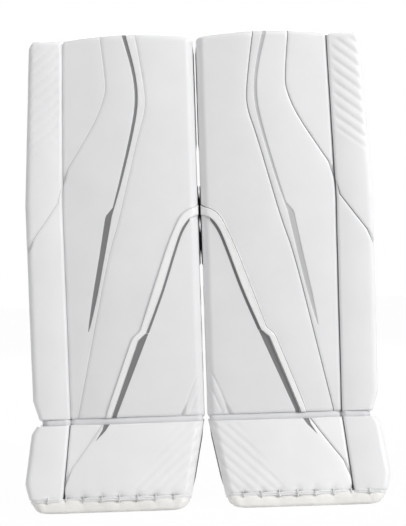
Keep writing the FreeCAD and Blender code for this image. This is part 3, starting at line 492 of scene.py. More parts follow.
def clip_runs(line, skin, margin=0.35):
    """The parts of a domain line that lie within the skin."""

    def spare(p):
        low, high = skin.ends(p[:, 0])
        edges = (p[:, 0] - 0.4, skin.p[-1] - 0.4 - p[:, 0])
        return np.minimum.reduce([p[:, 1] - low - margin, high - margin - p[:, 1], *edges])

    runs, within = [[]], spare(line) > 0
    for i, point in enumerate(line):
        if i and within[i] != within[i - 1]:
            a, b = (line[i - 1], point) if within[i - 1] else (point, line[i - 1])
            for _ in range(BISECTIONS):
                middle = (a + b) / 2
                a, b = (middle, b) if spare(middle[None])[0] > 0 else (a, middle)
            runs[-1].append(a)
            if not within[i]:
                runs.append([])
        if within[i]:
            runs[-1].append(point)
    return [np.array(run) for run in runs if len(run) > 1]


class Detail:
    """Seams, inlays and raised bands worked into a skin."""

    def __init__(self, skin):
        self.skin, self.lines, self.seams, self.areas = skin, [], [], []

    def seam(self, line, half=0.7, depth=1.0, pillow=0.8, spread=6.0, slot=1):
        path = self.skin.domain(chaikin(line))
        self.seams.append((path, half, depth, pillow, spread, slot))
        beside = half + BESIDE_SEAM
        self.lines += [offset_line(path, d) for d in (half, -half, beside, -beside)]

    def area(self, polygon, height, slot, wall=0.6, edge=None):
        path = self.skin.domain(polygon)
        ring = closed(path)
        self.areas.append((ring, height, slot, wall, edge))
        self.lines += [ring, closed(inward(path, wall if turns_left(ring) else -wall))]

    def heights(self, points):
        out = np.zeros(len(points))
        for path, half, depth, pillow, spread, _ in self.seams:
            d = np.maximum(line_distance(points, path) - half, 0)
            out -= depth * bell(d, 0.9) + pillow * np.exp(-d / spread)
        for ring, height, _, wall, _ in self.areas:
            share = np.clip(line_distance(points, ring) / wall, 0, 1)
            out += np.where(inside(points, ring), height * share, 0)
        return out

    def slots(self, points, faces):
        centres = np.array([points[list(f)].mean(axis=0) for f in faces])
        result = np.zeros(len(faces), int)
        for ring, _, slot, wall, edge in self.areas:
            within = inside(centres, ring)
            result[within] = slot
            if edge is not None:
                result[within & (line_distance(centres, ring) < wall)] = edge
        for path, half, _, _, _, slot in self.seams:
            result[line_distance(centres, path) < half] = slot
        return list(result)


def turns_left(ring):
    """Whether a closed line runs counter-clockwise."""
    return np.sum(ring[:-1, 0] * ring[1:, 1] - ring[1:, 0] * ring[:-1, 1]) > 0


def inward(polygon, distance):
    """A counter-clockwise polygon's corners moved inwards along their bisectors."""
    way = unit(polygon - np.roll(polygon, 1, axis=0)) + unit(np.roll(polygon, -1, axis=0) - polygon)
    return polygon + unit(np.column_stack([-way[:, 1], way[:, 0]])) * distance


def skin_mesh(skin, detail, step, extra):
    """Closed mesh of a skin in the pad frame: points, faces, face slots."""
    lines = [run for line in detail.lines for run in clip_runs(line, skin)] if detail else []
    flat, faces = triangulate(skin, step, lines)
    out, slots = extra(flat, skin), [0] * len(faces)
    if detail:
        out, slots = detail.heights(flat) + out, detail.slots(flat, faces)
    p, z = flat.T
    points = skin.place(p, z, out)
    lows, highs = skin.ends(p)

    def edge(near, order):
        found = np.where(near)[0]
        return found[np.argsort(order[found])]

    bottom, top = edge(np.abs(z - lows) < 5e-3, p), edge(np.abs(z - highs) < 5e-3, p)
    left, right = edge(p < 1e-3, z), edge(p > skin.p[-1] - 1e-3, z)
    if skin.closed:
        caps = [bottom[-2::-1], top[:-1]]
        weld = np.arange(len(flat))
        weld[right] = left
        faces = [weld[list(f)] for f in faces]
    else:
        caps = [bottom[::-1], top, [*left, *right[::-1]]]
    faces = [*faces, *caps]
    used = np.unique(np.concatenate(faces))
    index = np.zeros(len(points), int)
    index[used] = np.arange(len(used))
    return points[used], [tuple(index[list(f)]) for f in faces], slots + [0] * len(caps)


def loft(rings, flip=False):
    """Rings of points joined into a capped tube: points and faces."""
    count, faces = len(rings[0]), []
    last = (len(rings) - 1) * count
    for a in range(0, last, count):
        for k in range(count):
            n = (k + 1) % count
            face = (a + k, a + n, a + n + count, a + k + count)
            faces.append((face[0], *face[:0:-1]) if flip else face)
    caps = [tuple(range(count)), tuple(range(last, last + count))]
    caps[flip] = caps[flip][::-1]
    return [tuple(p) for ring in rings for p in ring], faces + caps


def tube(path, radius, sides=8, flat=1.0, up=(0.0, -1.0, 0.0)):
    """A capped tube along a path: points and faces."""
    rings, turns = [], 2 * math.pi * np.arange(sides) / sides
    for centre, tangent in zip(path, unit(np.gradient(path, axis=0))):
        across = unit(np.cross(tangent, up))
        lift = flat * np.cross(across, tangent)
        rings.append([centre + radius * (math.cos(a) * across + math.sin(a) * lift) for a in turns])
    return loft(rings)


def gather(parts):
    """Several (points, faces) as one."""
    points, faces = [], []
    for some, more in parts:
        faces += [tuple(len(points) + i for i in f) for f in more]
        points += some
    return points, faces


def stitch_rows(skin, detail, extra, rows, pitch=3.6):
    """Stitches that lie on a skin beside its seams: rows of (line, offset, rounds)."""
    parts = []
    for line, offset, rounds in rows:
        path = offset_line(skin.domain(chaikin(line, rounds)), offset)
        for run in clip_runs(path, skin, 3.0):
            length = lengths(run)
            for start in np.arange(1.0, length[-1] - pitch, pitch):
                flat = along(start + np.array([0.0, 0.32, 0.64]) * pitch, length, run)
                out = detail.heights(flat) + extra(flat, skin) + np.array([-0.15, 0.25, -0.15])
                parts.append(tube(skin.place(*flat.T, out), 0.38, 5))
    return gather(parts)


def add_side(side, name, made, section, materials):
    """One pad's mesh object, from pad-frame points, faces and maybe face slots."""
    points, faces, slots = (*made, None)[:3]
    if side == "left":
        faces = [f[::-1] for f in faces]
    return add_mesh(f"{side}_{name}", to_row(points, section, side), faces, materials, slots)


def mend_skin(mesh):
    """Doubled points merged, caps cut into triangles and normals turned outwards."""
    bm = bmesh.new()
    bm.from_mesh(mesh)
    bmesh.ops.remove_doubles(bm, verts=bm.verts, dist=2e-6)
    bmesh.ops.triangulate(bm, faces=[f for f in bm.faces if len(f.verts) > 4])
    bmesh.ops.recalc_face_normals(bm, faces=bm.faces)
    bm.to_mesh(mesh)
    bm.free()


def add_pieces(name, made, section, looks, body, nodes=(), is_skin=False):
    """A pad-frame mesh on both pads, with its materials, tied to its body; its CAD nodes are hidden."""
    for side in SIDES:
        obj = add_side(side, name, made, section, looks[side] if isinstance(looks, dict) else looks)
        if is_skin:
            mend_skin(obj.data)
        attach(obj, f"{side}_pad_{body}")
        if nodes:
            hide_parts(*(f"{side}_{n}" for n in nodes))


def build_skin(name, skin, detail, step, soft, looks, nodes, stitches=None):
    """A skin on both pads; stitches are a name and rows, as stitch_rows takes them."""
    section = name.split("_")[0]
    if stitches:
        made = stitch_rows(skin, detail, soft, stitches[1])
        add_pieces(stitches[0], made, section, [STITCH_WHITE], section)
    made = skin_mesh(skin, detail, step, soft)
    add_pieces(name, made, section, looks, section, nodes, True)


# ------------------------------------------------------------------ shin and boot skins


def taper(amount):
    """How far an edge comes in at a height."""
    return lambda z: amount * np.clip((z - TAPER_START) / (SHIN_TOP - TAPER_START), 0, 1)


def lean_out(amount):
    """How far an edge of the boot has moved at a depth below the hinge."""
    return lambda z: amount * np.clip(-z / TOE_SEAM, -0.2, 1.2)


def nothing(z):
    return 0.0 * z


def ankle_corner(z):
    """The outer roll of the shin draws in above the ankle."""
    return taper(OUTER_TAPER)(z) + 13.0 * np.clip((44.0 - z) / 44.0, 0, 1)


def boot_corners(z):
    """The outer roll of the boot flares, and draws in at both of its corners."""
    toe = TOE_CORNER * np.clip((28.0 - TOE_SEAM - z) / 28.0, 0, 1) ** 1.2
    return lean_out(-FLARE)(z) + toe + 8.0 * np.clip((z + 26.0) / 15.0, 0, 1.3) ** 1.2


def shin_low(x, y):
    return RELIEF + (HALF - np.minimum(y, HALF)) * MITRE + np.where(y > HALF, 2.0, 0.0)


def boot_high(x, y):
    return -RELIEF - (HALF - np.minimum(y, HALF)) * MITRE


def shin_high(x, y):
    middle, half = FACE_SIDE / 2, -FACE_SIDE / 2
    return SHIN_TOP - TOP_ARCH * np.clip((x - middle) / half, -1, 1) ** 2


def pits(points, scale, seed):
    """Slow, shallow unevenness of a hand-made foam block."""
    rng = np.random.default_rng(seed)
    out = np.zeros(len(points))
    for _ in range(7):
        k = rng.normal(0, 1, 2) / scale
        out += np.sin(points @ k * 2 * math.pi + rng.uniform(0, 6.28))
    return out / 7


def join(*parts):
    """Lines joined into one outline, each after some rounds of smoothing."""
    return np.vstack([chaikin(line, rounds) for rounds, line in parts])


SEAM_HIGH = [(-150, 645), (-148, 629), (-141.5, 560), (-142.5, 538), (-157, 500), (-187, 452), (-224, 396)]
SEAM_LONG = [
    (-95, 645), (-91, 628), (-79, 545), (-78.5, 511), (-92, 470), (-113, 391),
    (-128.5, 332), (-148, 274), (-177.5, 142), (-207, 10), (-211, -8),
]
STRIPE = join(
    (2, [(-116, 645), (-113, 630), (-97.5, 571), (-94.5, 525), (-104.5, 475), (-127, 391), (-137.5, 356)]),
    (0, [(-148.5, 343.5), (-150.5, 338), (-161, 282.5)]),
    (2, [(-176, 208), (-188, 138), (-168, 208), (-152, 282.5)]),
    (0, [(-139, 343)]),
    (2, [(-134, 358), (-123, 391), (-99.5, 475), (-89.5, 525), (-92.5, 571), (-106.5, 630), (-109, 645)]),
)
BAND_LEFT = [
    (3, 356), (-10, 352), (-19.5, 348), (-30, 339.5), (-39, 322), (-52, 292.5), (-68, 248),
    (-80.5, 213), (-100, 157),
]
BAND_RIGHT = [
    (-14, 335), (-22.5, 326), (-30.2, 313), (-40, 286.5), (-53, 248), (-65, 212.5), (-90.5, 150.5),
]
BAND = join(
    (2, BAND_LEFT),
    (0, [(-102, 154), (-112.5, 144.5), (-115.5, 139), (-155, 34.5), (-171, -14)]),
    (0, [(-158, -8), (-149.5, 20), (-104, 139), (-94, 147.5)]),
    (2, BAND_RIGHT[::-1]),
    (0, [(3, 339)]),
)
GREY_LINE = join(
    (2, BAND_RIGHT),
    (0, [(-86.5, 150)]),
    (2, [(-85, 153), (-61, 212.5), (-49, 248), (-36, 286.5), (-26.5, 312), (-14, 331)]),
)
GREY_BLOCK = [(-91, 150), (-103.5, 139), (-149, 20), (-157.5, -8), (-150.5, -8), (-141.5, 20), (-87, 149.5)]
CORNER_SEAMS = ([(-6, 84), (-15, 69), (-38, 10)], [(-5, 60), (-11, 48), (-23, 18)])


def face_detail(skin):
    """Seams, grey inlays and the raised band of the shin's face."""
    detail = Detail(skin)
    detail.seam(SEAM_HIGH, depth=0.7)
    detail.seam(SEAM_LONG, depth=0.7)
    detail.area(STRIPE, -0.6, 2)
    # The raised band's walls take the seam colour: its pale lit copy on the right pad and its dark shaded
    # copy on the left, painted light and shade.
    detail.area(BAND, 2.8, 4, 0.9, 1)
    detail.area(GREY_LINE, -0.5, 3)
    detail.area(GREY_BLOCK, -0.6, 3)
    for line in CORNER_SEAMS:
        detail.seam(line, half=0.5, depth=0.6, pillow=0.5, spread=3.0, slot=0)
    return detail


def face_soft(points, skin):
    return 0.35 * pits(points, 160.0, 3) + 0.12 * pits(points, 45.0, 4)


def seamed(base, *more):
    """Materials of a skin: its seams get a pale lit copy of the seam colour on the right pad and a dark
    shaded copy on the left, painted light and shade.
    """
    return {side: [base, seam, *more] for side, seam in zip(SIDES, (SEAM_LIT, SEAM_SHADED))}


def build_shin_faces():
    warp = (FACE_SIDE, 0.0, taper(SEAM_TAPER), nothing)
    skin = Skin(face_profile(), False, shin_low, shin_high, (6.0, 7.0), warp)
    rows = [(SEAM_HIGH, 2.6, 3), (SEAM_LONG, 2.6, 3), (BAND_LEFT, -2.4, 2), (BAND_RIGHT, 2.0, 2)]
    looks = seamed(WHITE_FACE, DARK_INLAY, DARK_INLAY, WHITE_BAND)
    # The left pad's stripe takes the paler copy of the inlay: painted light.
    looks["left"][2] = LIT_INLAY
    nodes, detail = ["shin_cover", "shin_core"], face_detail(skin)
    stitches = ("face_stitches", rows)
    build_skin("shin_face", skin, detail, (2.6, 3.2), face_soft, looks, nodes, stitches)


ROLL_SEAM = [(-210, 386), (-245, 338), (-284, 286)]


def ribs(points, origin, direction, pitch, depth):
    """Rounded ribs side by side: heights at or below zero."""
    u = ((points - origin) @ direction) / pitch
    return depth * (np.abs(np.sin(math.pi * u)) ** 0.55 - 1)


def bell(value, width):
    """1 at 0, and less the farther away."""
    return np.exp(-((value / width) ** 2))


def fade(value, low, high):
    """0 below low, 1 above high, smooth between."""
    t = np.clip((value - low) / (high - low), 0, 1)
    return t * t * (3 - 2 * t)


def roll_soft(points, skin):
    x, y = skin.base(points[:, 0])
    front = fade(-y, 8.0, 20.0)
    place = np.column_stack([x, points[:, 1]])
    slant = np.array([-0.59, 0.81])
    mask = front * fade(place @ slant, 512, 520) * fade(-points[:, 1], -623, -611)
    mask = mask * fade(-x, 222, 232) * fade(x, 1 - WIDTH, 9 - WIDTH)
    return 0.3 * pits(points, 120.0, 7) + mask * ribs(place, (-219, 478), slant, 15.2, 2.1)


def build_shin_rolls():
    def roll_high(x, y):
        drop = np.clip((-WIDTH + ROLL_ROUND - x) / ROLL_ROUND, 0, 1)
        return SHIN_TOP - TOP_ARCH - ROLL_ROUND * (1 - np.sqrt(1 - drop**2)) * 0.9

    warp = (ROLL_SIDE, -WIDTH, taper(SEAM_TAPER), ankle_corner)
    skin = Skin(roll_profile(ROLL_BACK), True, shin_low, roll_high, (3.2, 6.0), warp, 1.6)
    detail = Detail(skin)
    detail.seam(ROLL_SEAM)
    looks, nodes = seamed(WHITE_ROLL), ["shin_outer_roll"]
    stitches = ("roll_stitches", [(ROLL_SEAM, 2.4, 3)])
    build_skin("shin_roll", skin, detail, (2.3, 2.3), roll_soft, looks, nodes, stitches)


BOOT_SEAM = [(-157, 4), (-167, -13), (-192, -48), (-238, -108)]
BOOT_TIP = [(-160, 6), (-149, 6), (-154, -12), (-162, -24), (-178, -40), (-167, -22)]
LACES = 8


def lace_places():
    """X of each lace loop, as in the CAD model."""
    start = -WIDTH - FLARE + TOE_CORNER + LACE_INSET
    span = -start - NARROWING - LACE_INSET
    return [start + span * (i + 0.5) / LACES for i in range(LACES)]


def boot_soft(points, skin):
    x, y = skin.base(points[:, 0])
    z = points[:, 1]
    place = np.column_stack([skin.warped(x, z), z])
    front = fade(-y, 8.0, 20.0)
    slant = np.array([-0.69, 0.72])
    edge = (place - (-50.0, -14.0)) @ np.array([0.836, -0.547])
    mask = front * fade(edge, -2, 7) * fade(-z, 13, 20)
    out = 0.3 * pits(points, 110.0, 11) + mask * ribs(place, (-30, -20), slant, 13.0, 1.6)
    for at in lace_places():
        d = np.hypot(place[:, 0] - at, (z + TOE_SEAM) * 0.7)
        out -= front * 3.3 * bell(d, 6.5)
    return out - 1.8 * front * np.exp(-(z + TOE_SEAM) / 5.0)


def toe_low(x, y):
    return -TOE_SEAM + 0.0 * x


def build_boot_faces():
    warp = (FACE_SIDE, 0.0, lean_out(-SKEW), lean_out(-NARROWING))
    skin = Skin(face_profile(), False, toe_low, boot_high, (2.0, 2.6), warp)
    detail = Detail(skin)
    detail.seam(BOOT_SEAM)
    detail.area(BOOT_TIP, -0.5, 2)
    rows = [(BOOT_SEAM, 2.4, 3), ([(-250, 3.6 - TOE_SEAM), (-20, 3.6 - TOE_SEAM)], 0.0, 0)]
    looks, nodes = seamed(WHITE_BOOT, DARK_INLAY), ["boot_cover", "boot_core"]
    stitches = ("boot_stitches", rows)
    build_skin("boot_face", skin, detail, (2.3, 2.3), boot_soft, looks, nodes, stitches)


def build_boot_rolls():
    warp = (ROLL_SIDE, -WIDTH, lean_out(-SKEW), boot_corners)
    skin = Skin(roll_profile(HALF), True, toe_low, boot_high, (2.5, 2.6), warp, 1.6)

    def soft(points, skin):
        x, y = skin.base(points[:, 0])
        front = fade(-y, 8.0, 20.0)
        out = 0.3 * pits(points, 90.0, 13)
        for at in lace_places()[:2]:
            d = np.hypot(x - FLARE - at, points[:, 1] + TOE_SEAM)
            out -= front * 1.6 * bell(d, 6.5)
        return out

    nodes = ["boot_outer_roll"]
    build_skin("boot_roll", skin, None, (2.4, 2.6), soft, [WHITE_ROLL], nodes)


build_shin_faces()
build_shin_rolls()
build_boot_faces()
build_boot_rolls()


# ------------------------------------------------------------------ toe, welts and gussets


def floor_at(y):
    """Height of the floor in the boot's frame."""
    return -BOOT_HEEL - (HALF - y) * FLOOR_SLOPE


CLOTH_FRAMES = 20
CLOTH = {
    "quality": 4, "mass": 0.25, "tension_stiffness": 12.0, "compression_stiffness": 12.0,
    "shear_stiffness": 6.0, "bending_stiffness": 1.5, "use_pressure": True,
}


def add_modifier(obj, kind, **settings):
    """A modifier with its settings."""
    return assign(obj.modifiers.new(kind.lower(), kind), **settings)


def evaluated_arrays(obj):
    """Vertices in millimetres and faces of an object with its modifiers applied."""
    graph = bpy.context.evaluated_depsgraph_get()
    mesh = bpy.data.meshes.new_from_object(obj.evaluated_get(graph))
    points = np.empty(len(mesh.vertices) * 3)
    mesh.vertices.foreach_get("co", points)
    faces = [tuple(p.vertices) for p in mesh.polygons]
    bpy.data.meshes.remove(mesh)
    return points.reshape(-1, 3) * 1000.0, faces


def discard(obj):
    """Removes an object and its mesh."""
    mesh = obj.data
    bpy.data.objects.remove(obj)
    bpy.data.meshes.remove(mesh)


def puffed(points, faces, voxel, cap, pressure):
    """A padded form blown up as cloth from a remeshed copy: points and faces."""
    obj = add_mesh("cushion_in_making", np.asarray(points) / 1000.0, faces, [])
    add_modifier(obj, "REMESH", mode="VOXEL", voxel_size=voxel / 1000.0)
    add_modifier(obj, "SMOOTH", factor=0.5, iterations=3)
    start, faces = evaluated_arrays(obj)
    obj.modifiers.clear()
    obj.data.clear_geometry()
    obj.data.from_pydata([tuple(p) for p in start / 1000.0], [], faces)
    obj.data.update()
    cloth = add_modifier(obj, "CLOTH")
    assign(cloth.settings, **CLOTH, uniform_pressure_force=pressure)
    cloth.settings.effector_weights.gravity = 0.0
    assign(cloth.point_cache, frame_start=1, frame_end=CLOTH_FRAMES)
    for number in range(1, CLOTH_FRAMES + 1):
        bpy.context.scene.frame_set(number)
    move = evaluated_arrays(obj)[0] - start
    length = np.linalg.norm(move, axis=1)
    move *= (np.minimum(length, cap) / np.maximum(length, 1e-9))[:, None]
    bpy.context.scene.frame_set(1)
    obj.modifiers.clear()
    obj.data.vertices.foreach_set("co", ((start + move) / 1000.0).ravel())
    obj.data.update()
    add_modifier(obj, "SUBSURF", levels=1, render_levels=1)
    made = evaluated_arrays(obj)
    discard(obj)
    return made


def toe_front(x):
    """Y of the face's front at the toe."""
    u = np.clip((x + 130.0) / 103.0, -1, 1)
    roll = fade(-x, 232.0, 240.0)
    round_in = 8.0 * fade(x, -38, -26) ** 2 + 9.0 * fade(-x, 276, 288) ** 2
    return -HALF - CROWN * (1 - u * u) * (1 - roll) - (ROLL_LIFT + 3.0) * roll + round_in


def build_toe_rolls():
    """Bolster under the face, blown up as cloth and drawn in at each lace."""
    start, low_z, seam = -WIDTH - FLARE + TOE_CORNER, floor_at(-HALF), -TOE_SEAM - 0.6
    front, length = -HALF - CROWN, 261
    section = [(HALF, seam - 1), (front + 6, seam - 1), (front + 2, seam - 4), (front + 1, seam - 9)]
    section += [(front + 3, floor_at(front) + 4), (front + 9, floor_at(front + 9) + 1)]
    section.append((HALF, floor_at(HALF) + 1))
    rings = []
    for at in [0, 5, 12, *np.linspace(24, 237, 20), 249, 256, length]:
        edge, way = min(at, length - at), 1 if at < length / 2 else -1
        tuck = 8.0 * max(1 - edge / 12.0, 0.0) ** 1.5
        near = TOE_CORNER * max(1 - edge / 40.0, 0.0)
        ring = []
        for y, z in section:
            x = start + at + way * (near * np.clip((seam - 2 - z) / (seam - 2 - low_z), 0, 1.2) + 1)
            ring.append((x, y + tuck * (y < 0), z + 0.4 * tuck * (z < seam - 15)))
        rings.append(ring)
    points, faces = puffed(*loft(rings), 3.4, 2.0, 3.0)
    x, y, z = points.T
    out = 0.4 * pits(points[:, [0, 2]], 60.0, 17)
    for i, at in enumerate(lace_places()):
        d = np.abs(x - at)
        out += 0.4 * math.sin(i * 2.3) * bell(d, 14.0)
        out -= 1.9 * bell(d, 5.5) * np.exp(-np.abs(z + TOE_SEAM + 4) / 9.0)
    y = y - fade(-y, 12, 22) * out
    made = np.column_stack([x, y, np.clip(z, floor_at(y), seam)]), faces
    add_pieces("toe_cushion", made, "boot", [WHITE_TOE], "boot", ["toe_roll"], True)


def build_toe_welt():
    """Piping and tape round the toe seam, drawn down a little at every lace."""
    start = -WIDTH - FLARE + TOE_CORNER + 3
    xs = np.arange(start, -NARROWING - 3, 1.5)
    dip = sum(bell(xs - at, 5.0) for at in lace_places())
    ends = fade(xs, start, start + 10) * fade(-xs, NARROWING + 3, NARROWING + 13)
    route = np.column_stack([xs, toe_front(xs) + 1.6 + 6.0 * (1 - ends), -TOE_SEAM + 0.2 - 0.8 * dip])
    legs = [np.linspace((end[0], HALF - 3, end[2]), end + (0, 3, 0), 12) for end in (route[0], route[-1])]
    route = np.vstack([legs[0], route, legs[1][::-1]])
    tape = route + (0.0, 1.3, -2.6)
    made = gather([tube(line, radius, up=(0.0, 0.0, 1.0)) for line, radius in ((route, 1.6), (tape, 1.9))])
    add_pieces("toe_welt", made, "boot", [WHITE_ROLL], "boot")


def build_edge_bindings():
    """Black tape that binds the back of the inner edge, on the boot and near the top."""
    for name, section, low, high, lean in (
        ("boot_edge", "boot", -112.0, -17.0, NARROWING / TOE_SEAM),
        ("shin_edge", "shin", 440.0, SHIN_TOP - 22.0, 0.0),
    ):
        z = np.linspace(high, low, 40)
        end = np.minimum(np.minimum(high - z, z - low) / 14.0, 1.0)
        path = np.column_stack([-0.9 - 1.2 * (1 - end) + lean * z, 15.5 + 0 * z, z])
        add_pieces(name, tube(path, 2.3, 12, 3.2), section, [BLACK_WEBBING], section)


def build_laces():
    """Short loops of cord that tie the toe roll to the face."""
    loops = []
    for at in lace_places():
        a = np.linspace(-0.35, math.pi + 0.5, 14)
        y = float(toe_front(at)) + 2.6 - 4.0 * np.sin(a)
        z = -TOE_SEAM - 1.2 + 4.6 * np.cos(a)
        x = at + 1.1 * np.sin(a * 0.9 + 0.4)
        loops.append(tube(np.column_stack([x, y, z]), 1.35, 8, 0.85, (1.0, 0.0, 0.0)))
    add_pieces("toe_laces", gather(loops), "boot", [LACE_WHITE], "boot", ["toe_lacing"])


def build_webs():
    """Strips that close the gap between face and roll, below their shoulders."""
    across = [(-1.0, -16.0), (-1.0, -20.0), (-0.4, -20.9), (0.2, -21.0)]
    across += [(0.8, -20.9), (1.4, -20.0), (1.4, -16.0)]
    # Web colour paints the shade in the groove: dark seam grey on the left pad's shin and on both boots;
    # the right pad's shin web takes the face's white.
    lit_right_shaded_left = {"right": [WHITE_FACE], "left": [SEAM_SHADED]}
    for section, levels, shift, looks in (
        ("shin", np.linspace(12.5, SHIN_TOP - TOP_ARCH - 3, 60), taper(SEAM_TAPER), lit_right_shaded_left),
        ("boot", np.linspace(-TOE_SEAM + 1, -13.0, 16), lean_out(-SKEW), [SEAM_SHADED]),
    ):
        rings = [[(ROLL_SIDE + x + float(shift(z)), y, z) for x, y in across] for z in levels]
        add_pieces(f"{section}_web", loft(rings), section, looks, section)


def break_front(x):
    """Y of the gusset's nose: just behind the front of the face and the roll."""
    u = np.clip((x - FACE_SIDE / 2) / (-FACE_SIDE / 2), -1, 1)
    roll = fade(-x, -FACE_SIDE, -ROLL_SIDE + 1)
    seam = 6.0 * bell(x - ROLL_SIDE, 3.5)
    ends = 9.0 * fade(x, -11, -1) ** 2 + 10.0 * fade(-x, WIDTH - 27, WIDTH - 13) ** 2
    return -HALF - CROWN * (1 - u * u) * (1 - roll) - (ROLL_LIFT + 3.5) * roll + 1.4 + seam + ends


def build_break_gussets():
    """Soft roll that fills the open break."""
    xs = [*np.linspace(-WIDTH + 14, ROLL_SIDE, 20), *np.linspace(FACE_SIDE, -3, 60)]
    flat = 0.86  # share of the depth that lies behind the rounded nose
    nose = flat + 0.14 * np.sin(np.linspace(0.12, 1, 8) * math.pi / 2)
    share = np.concatenate([np.linspace(0, flat, 14), nose])
    bulge = np.clip((share - flat) / 0.14, 0, 1)
    lap = np.clip(bulge * 4, 0, 1) * (1 - bulge**3)
    rings = []
    for x in xs:
        ys = HALF - 4 + (float(break_front(x)) - HALF + 4) * share
        gap = 0.15 + (HALF - ys) * math.tan(math.radians(4.5))
        half = gap * np.sqrt(np.maximum(1 - 0.92 * bulge**2.4, 0.0))
        ys = ys + 0.35 * math.sin(x / 9.0) * math.sin(x / 23.0 + 1.0) * bulge
        upper = [(x, y, h) for y, h in zip(ys, half + 2.4 * lap)]
        rings.append(upper + [(x, y, -h) for y, h in zip(ys, half + 3.0 * lap)][::-1])
    for side, sign in zip(SIDES, (-1, 1)):
        # The gusset's grey material is painted shade of the break's crease.
        obj = add_side(side, "break_gusset", loft(rings), "middle", [GUSSET])
        bodies = (f"{side}_pad_{section}" for section in ("shin", "boot"))
        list(bodies)
        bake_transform(obj)


build_toe_rolls()
build_toe_welt()
build_edge_bindings()
build_laces()
build_webs()
build_break_gussets()


# ------------------------------------------------------------------ black padding

LINER_FRONT = 27.6
BOOT_LINER_FRONT = 23.3
CUSHION_VOXEL = 4.6
CUSHION_PRESSURE = 4.0
WING_PIVOT = 32.1
WING_REACH = 122.0
CALF = (50.0, 236.0)
KNEE = (252.0, 383.0)
NO_WARP = (0.0, 1.0, nothing, nothing)


def level(z):
    """The height of a level end."""
    return lambda x, y: z + 0 * x


def channels(values, places, depth, width, spread, pillow):
    """Sewn channels: narrow grooves in wider hollows."""
    out = 0.0
    for at in places:
        d = np.abs(values - at)
        out = out - depth * bell(d, width) - pillow * bell(d, spread)
    return out


def box_profile(x0, x1, y0, y1, turn):
    """A plan rectangle with its two back corners rounded."""
    right, left = (arc(x, y1 - turn, turn, a, a + 90, 6) for x, a in ((x1 - turn, 0), (x0 + turn, 90)))
    return [(x0, y0), (x1, y0), *right, *left]


def build_cushion(name, section, skin, press, step, swell, back, sewn):
    """A black cushion blown up as cloth; then sewn(x, z) sinks the part behind back."""
    points, faces, _ = skin_mesh(skin, None, step, lambda p, s: np.full(len(p), -press))
    points, faces = puffed(points, faces, CUSHION_VOXEL, swell, CUSHION_PRESSURE)
    x, y, z = points.T
    y = np.maximum(y + fade(y, *back) * sewn(x, z), LINER_FRONT if section == "shin" else BOOT_LINER_FRONT)
    if section == "boot":
        z = np.maximum(z, floor_at(y))
    made = np.column_stack([x, y, z]), faces
    cushion = name.split("_")[0] + "_cushion"
    add_pieces(cushion, made, section, [BLACK_NYLON], section, [name])


def build_calf_channel():
    """Trough for the calf: two side bolsters, a dished middle and sewn channels."""
    x = np.linspace(-34, -184, 40)
    u = np.clip((x + 109.0) / 81.0, -1, 1)
    rise = 50.0 - 13.5 * np.clip(1 - (np.abs(u) / 0.74) ** 2.2, 0, 1)
    profile = [(-189, LINER_FRONT + 0.6), (-29, LINER_FRONT + 0.6), (-29, 44), *zip(x, rise), (-189, 44)]
    skin = Skin(profile, True, level(33.5), level(238.5), (3.8, 3.8), NO_WARP, 3.0)

    def sewn(x, z):
        across = channels(z, (75, 118, 161, 204), 2.0, 2.4, 9.0, 2.2)
        return across + channels(x, (-162, -56), 1.8, 2.4, 8.0, 1.4)

    build_cushion("calf_channel", "shin", skin, 0.4, (5.0, 6.0), 5.0, (33, 37), sewn)


def build_knee_block():
    """Thick landing block with a welted back panel."""
    profile = box_profile(-163.5, -31.5, LINER_FRONT + 0.6, 60.5, 11)
    skin = Skin(profile, True, level(253.5), level(381.5), (10.0, 10.0), NO_WARP, 2.5)

    def sewn(x, z):
        edge = np.minimum.reduce([x + 163, -32 - x, z - 254, 381 - z])
        return channels(edge, (11.0,), 1.5, 1.4, 5.0, 0.8) + channels(z, (317.5,), 1.6, 1.6, 9.0, 1.4)

    build_cushion("knee_block", "shin", skin, 1.0, (5.0, 5.0), 4.0, (50, 56), sewn)


def build_thigh_liner():
    """Thin quilted cushion above the knee."""
    profile = box_profile(-198.5, -15.5, LINER_FRONT + 0.5, 41.0, 6)
    skin = Skin(profile, True, level(425.5), level(SHIN_TOP - 25.5), (6.5, 6.5), NO_WARP, 2.0)

    def sewn(x, z):
        slants = ((x + 107 + way * (z - 516)) / math.sqrt(2) for way in (1, -1))
        return sum(channels(slant, np.arange(-9, 9) * 34.0, 1.1, 2.2, 8.0, 1.5) for slant in slants)

    build_cushion("thigh_liner", "shin", skin, 0.8, (5.0, 5.0), 3.5, (33, 37), sewn)


def build_boot_liner():
    """Channel for the skate, level with the floor at its foot."""
    back = [(-40, 52.3), (-62, 52.0), (-70, 49.5), (-85, 39.0), (-100, 37.0)]
    back += [(-168, 37.0), (-183, 39.0), (-198, 49.5), (-206, 52.0), (-228, 52.3)]
    profile = [(-237, 24.3), (-31, 24.3), (-31, 45), *back, (-237, 45)]
    skin = Skin(profile, True, lambda x, y: floor_at(y) + 0.3, level(-15.5), (2.0, 9.0), NO_WARP, 2.6)

    def sewn(x, z):
        return channels(z, (-46, -78, -110), 1.5, 1.6, 7.0, 1.2)

    build_cushion("boot_liner", "boot", skin, 1.0, (5.0, 5.0), 4.0, (31, 35), sewn)


def wing_profile(outer_face, sign):
    """Plan outline of a wing: round foot, leg, bend and curled end."""
    bend = 30.0
    path = [(-4.5, y) for y in (WING_PIVOT + 1, *np.linspace(40, WING_REACH - bend, 12))]
    path += arc(-bend, WING_REACH - bend, bend - 4.5, 0, 90, 14)[1:]
    path += [(-x, WING_REACH - 4.5) for x in np.linspace(36, 55, 6)]
    path = np.array(path) * (sign, 1) + (outer_face, 0)
    outline = np.vstack([offset_line(path, 4.3), offset_line(path, -4.3)[::-1]])
    return outline if turns_left(closed(outline)) else outline[::-1]


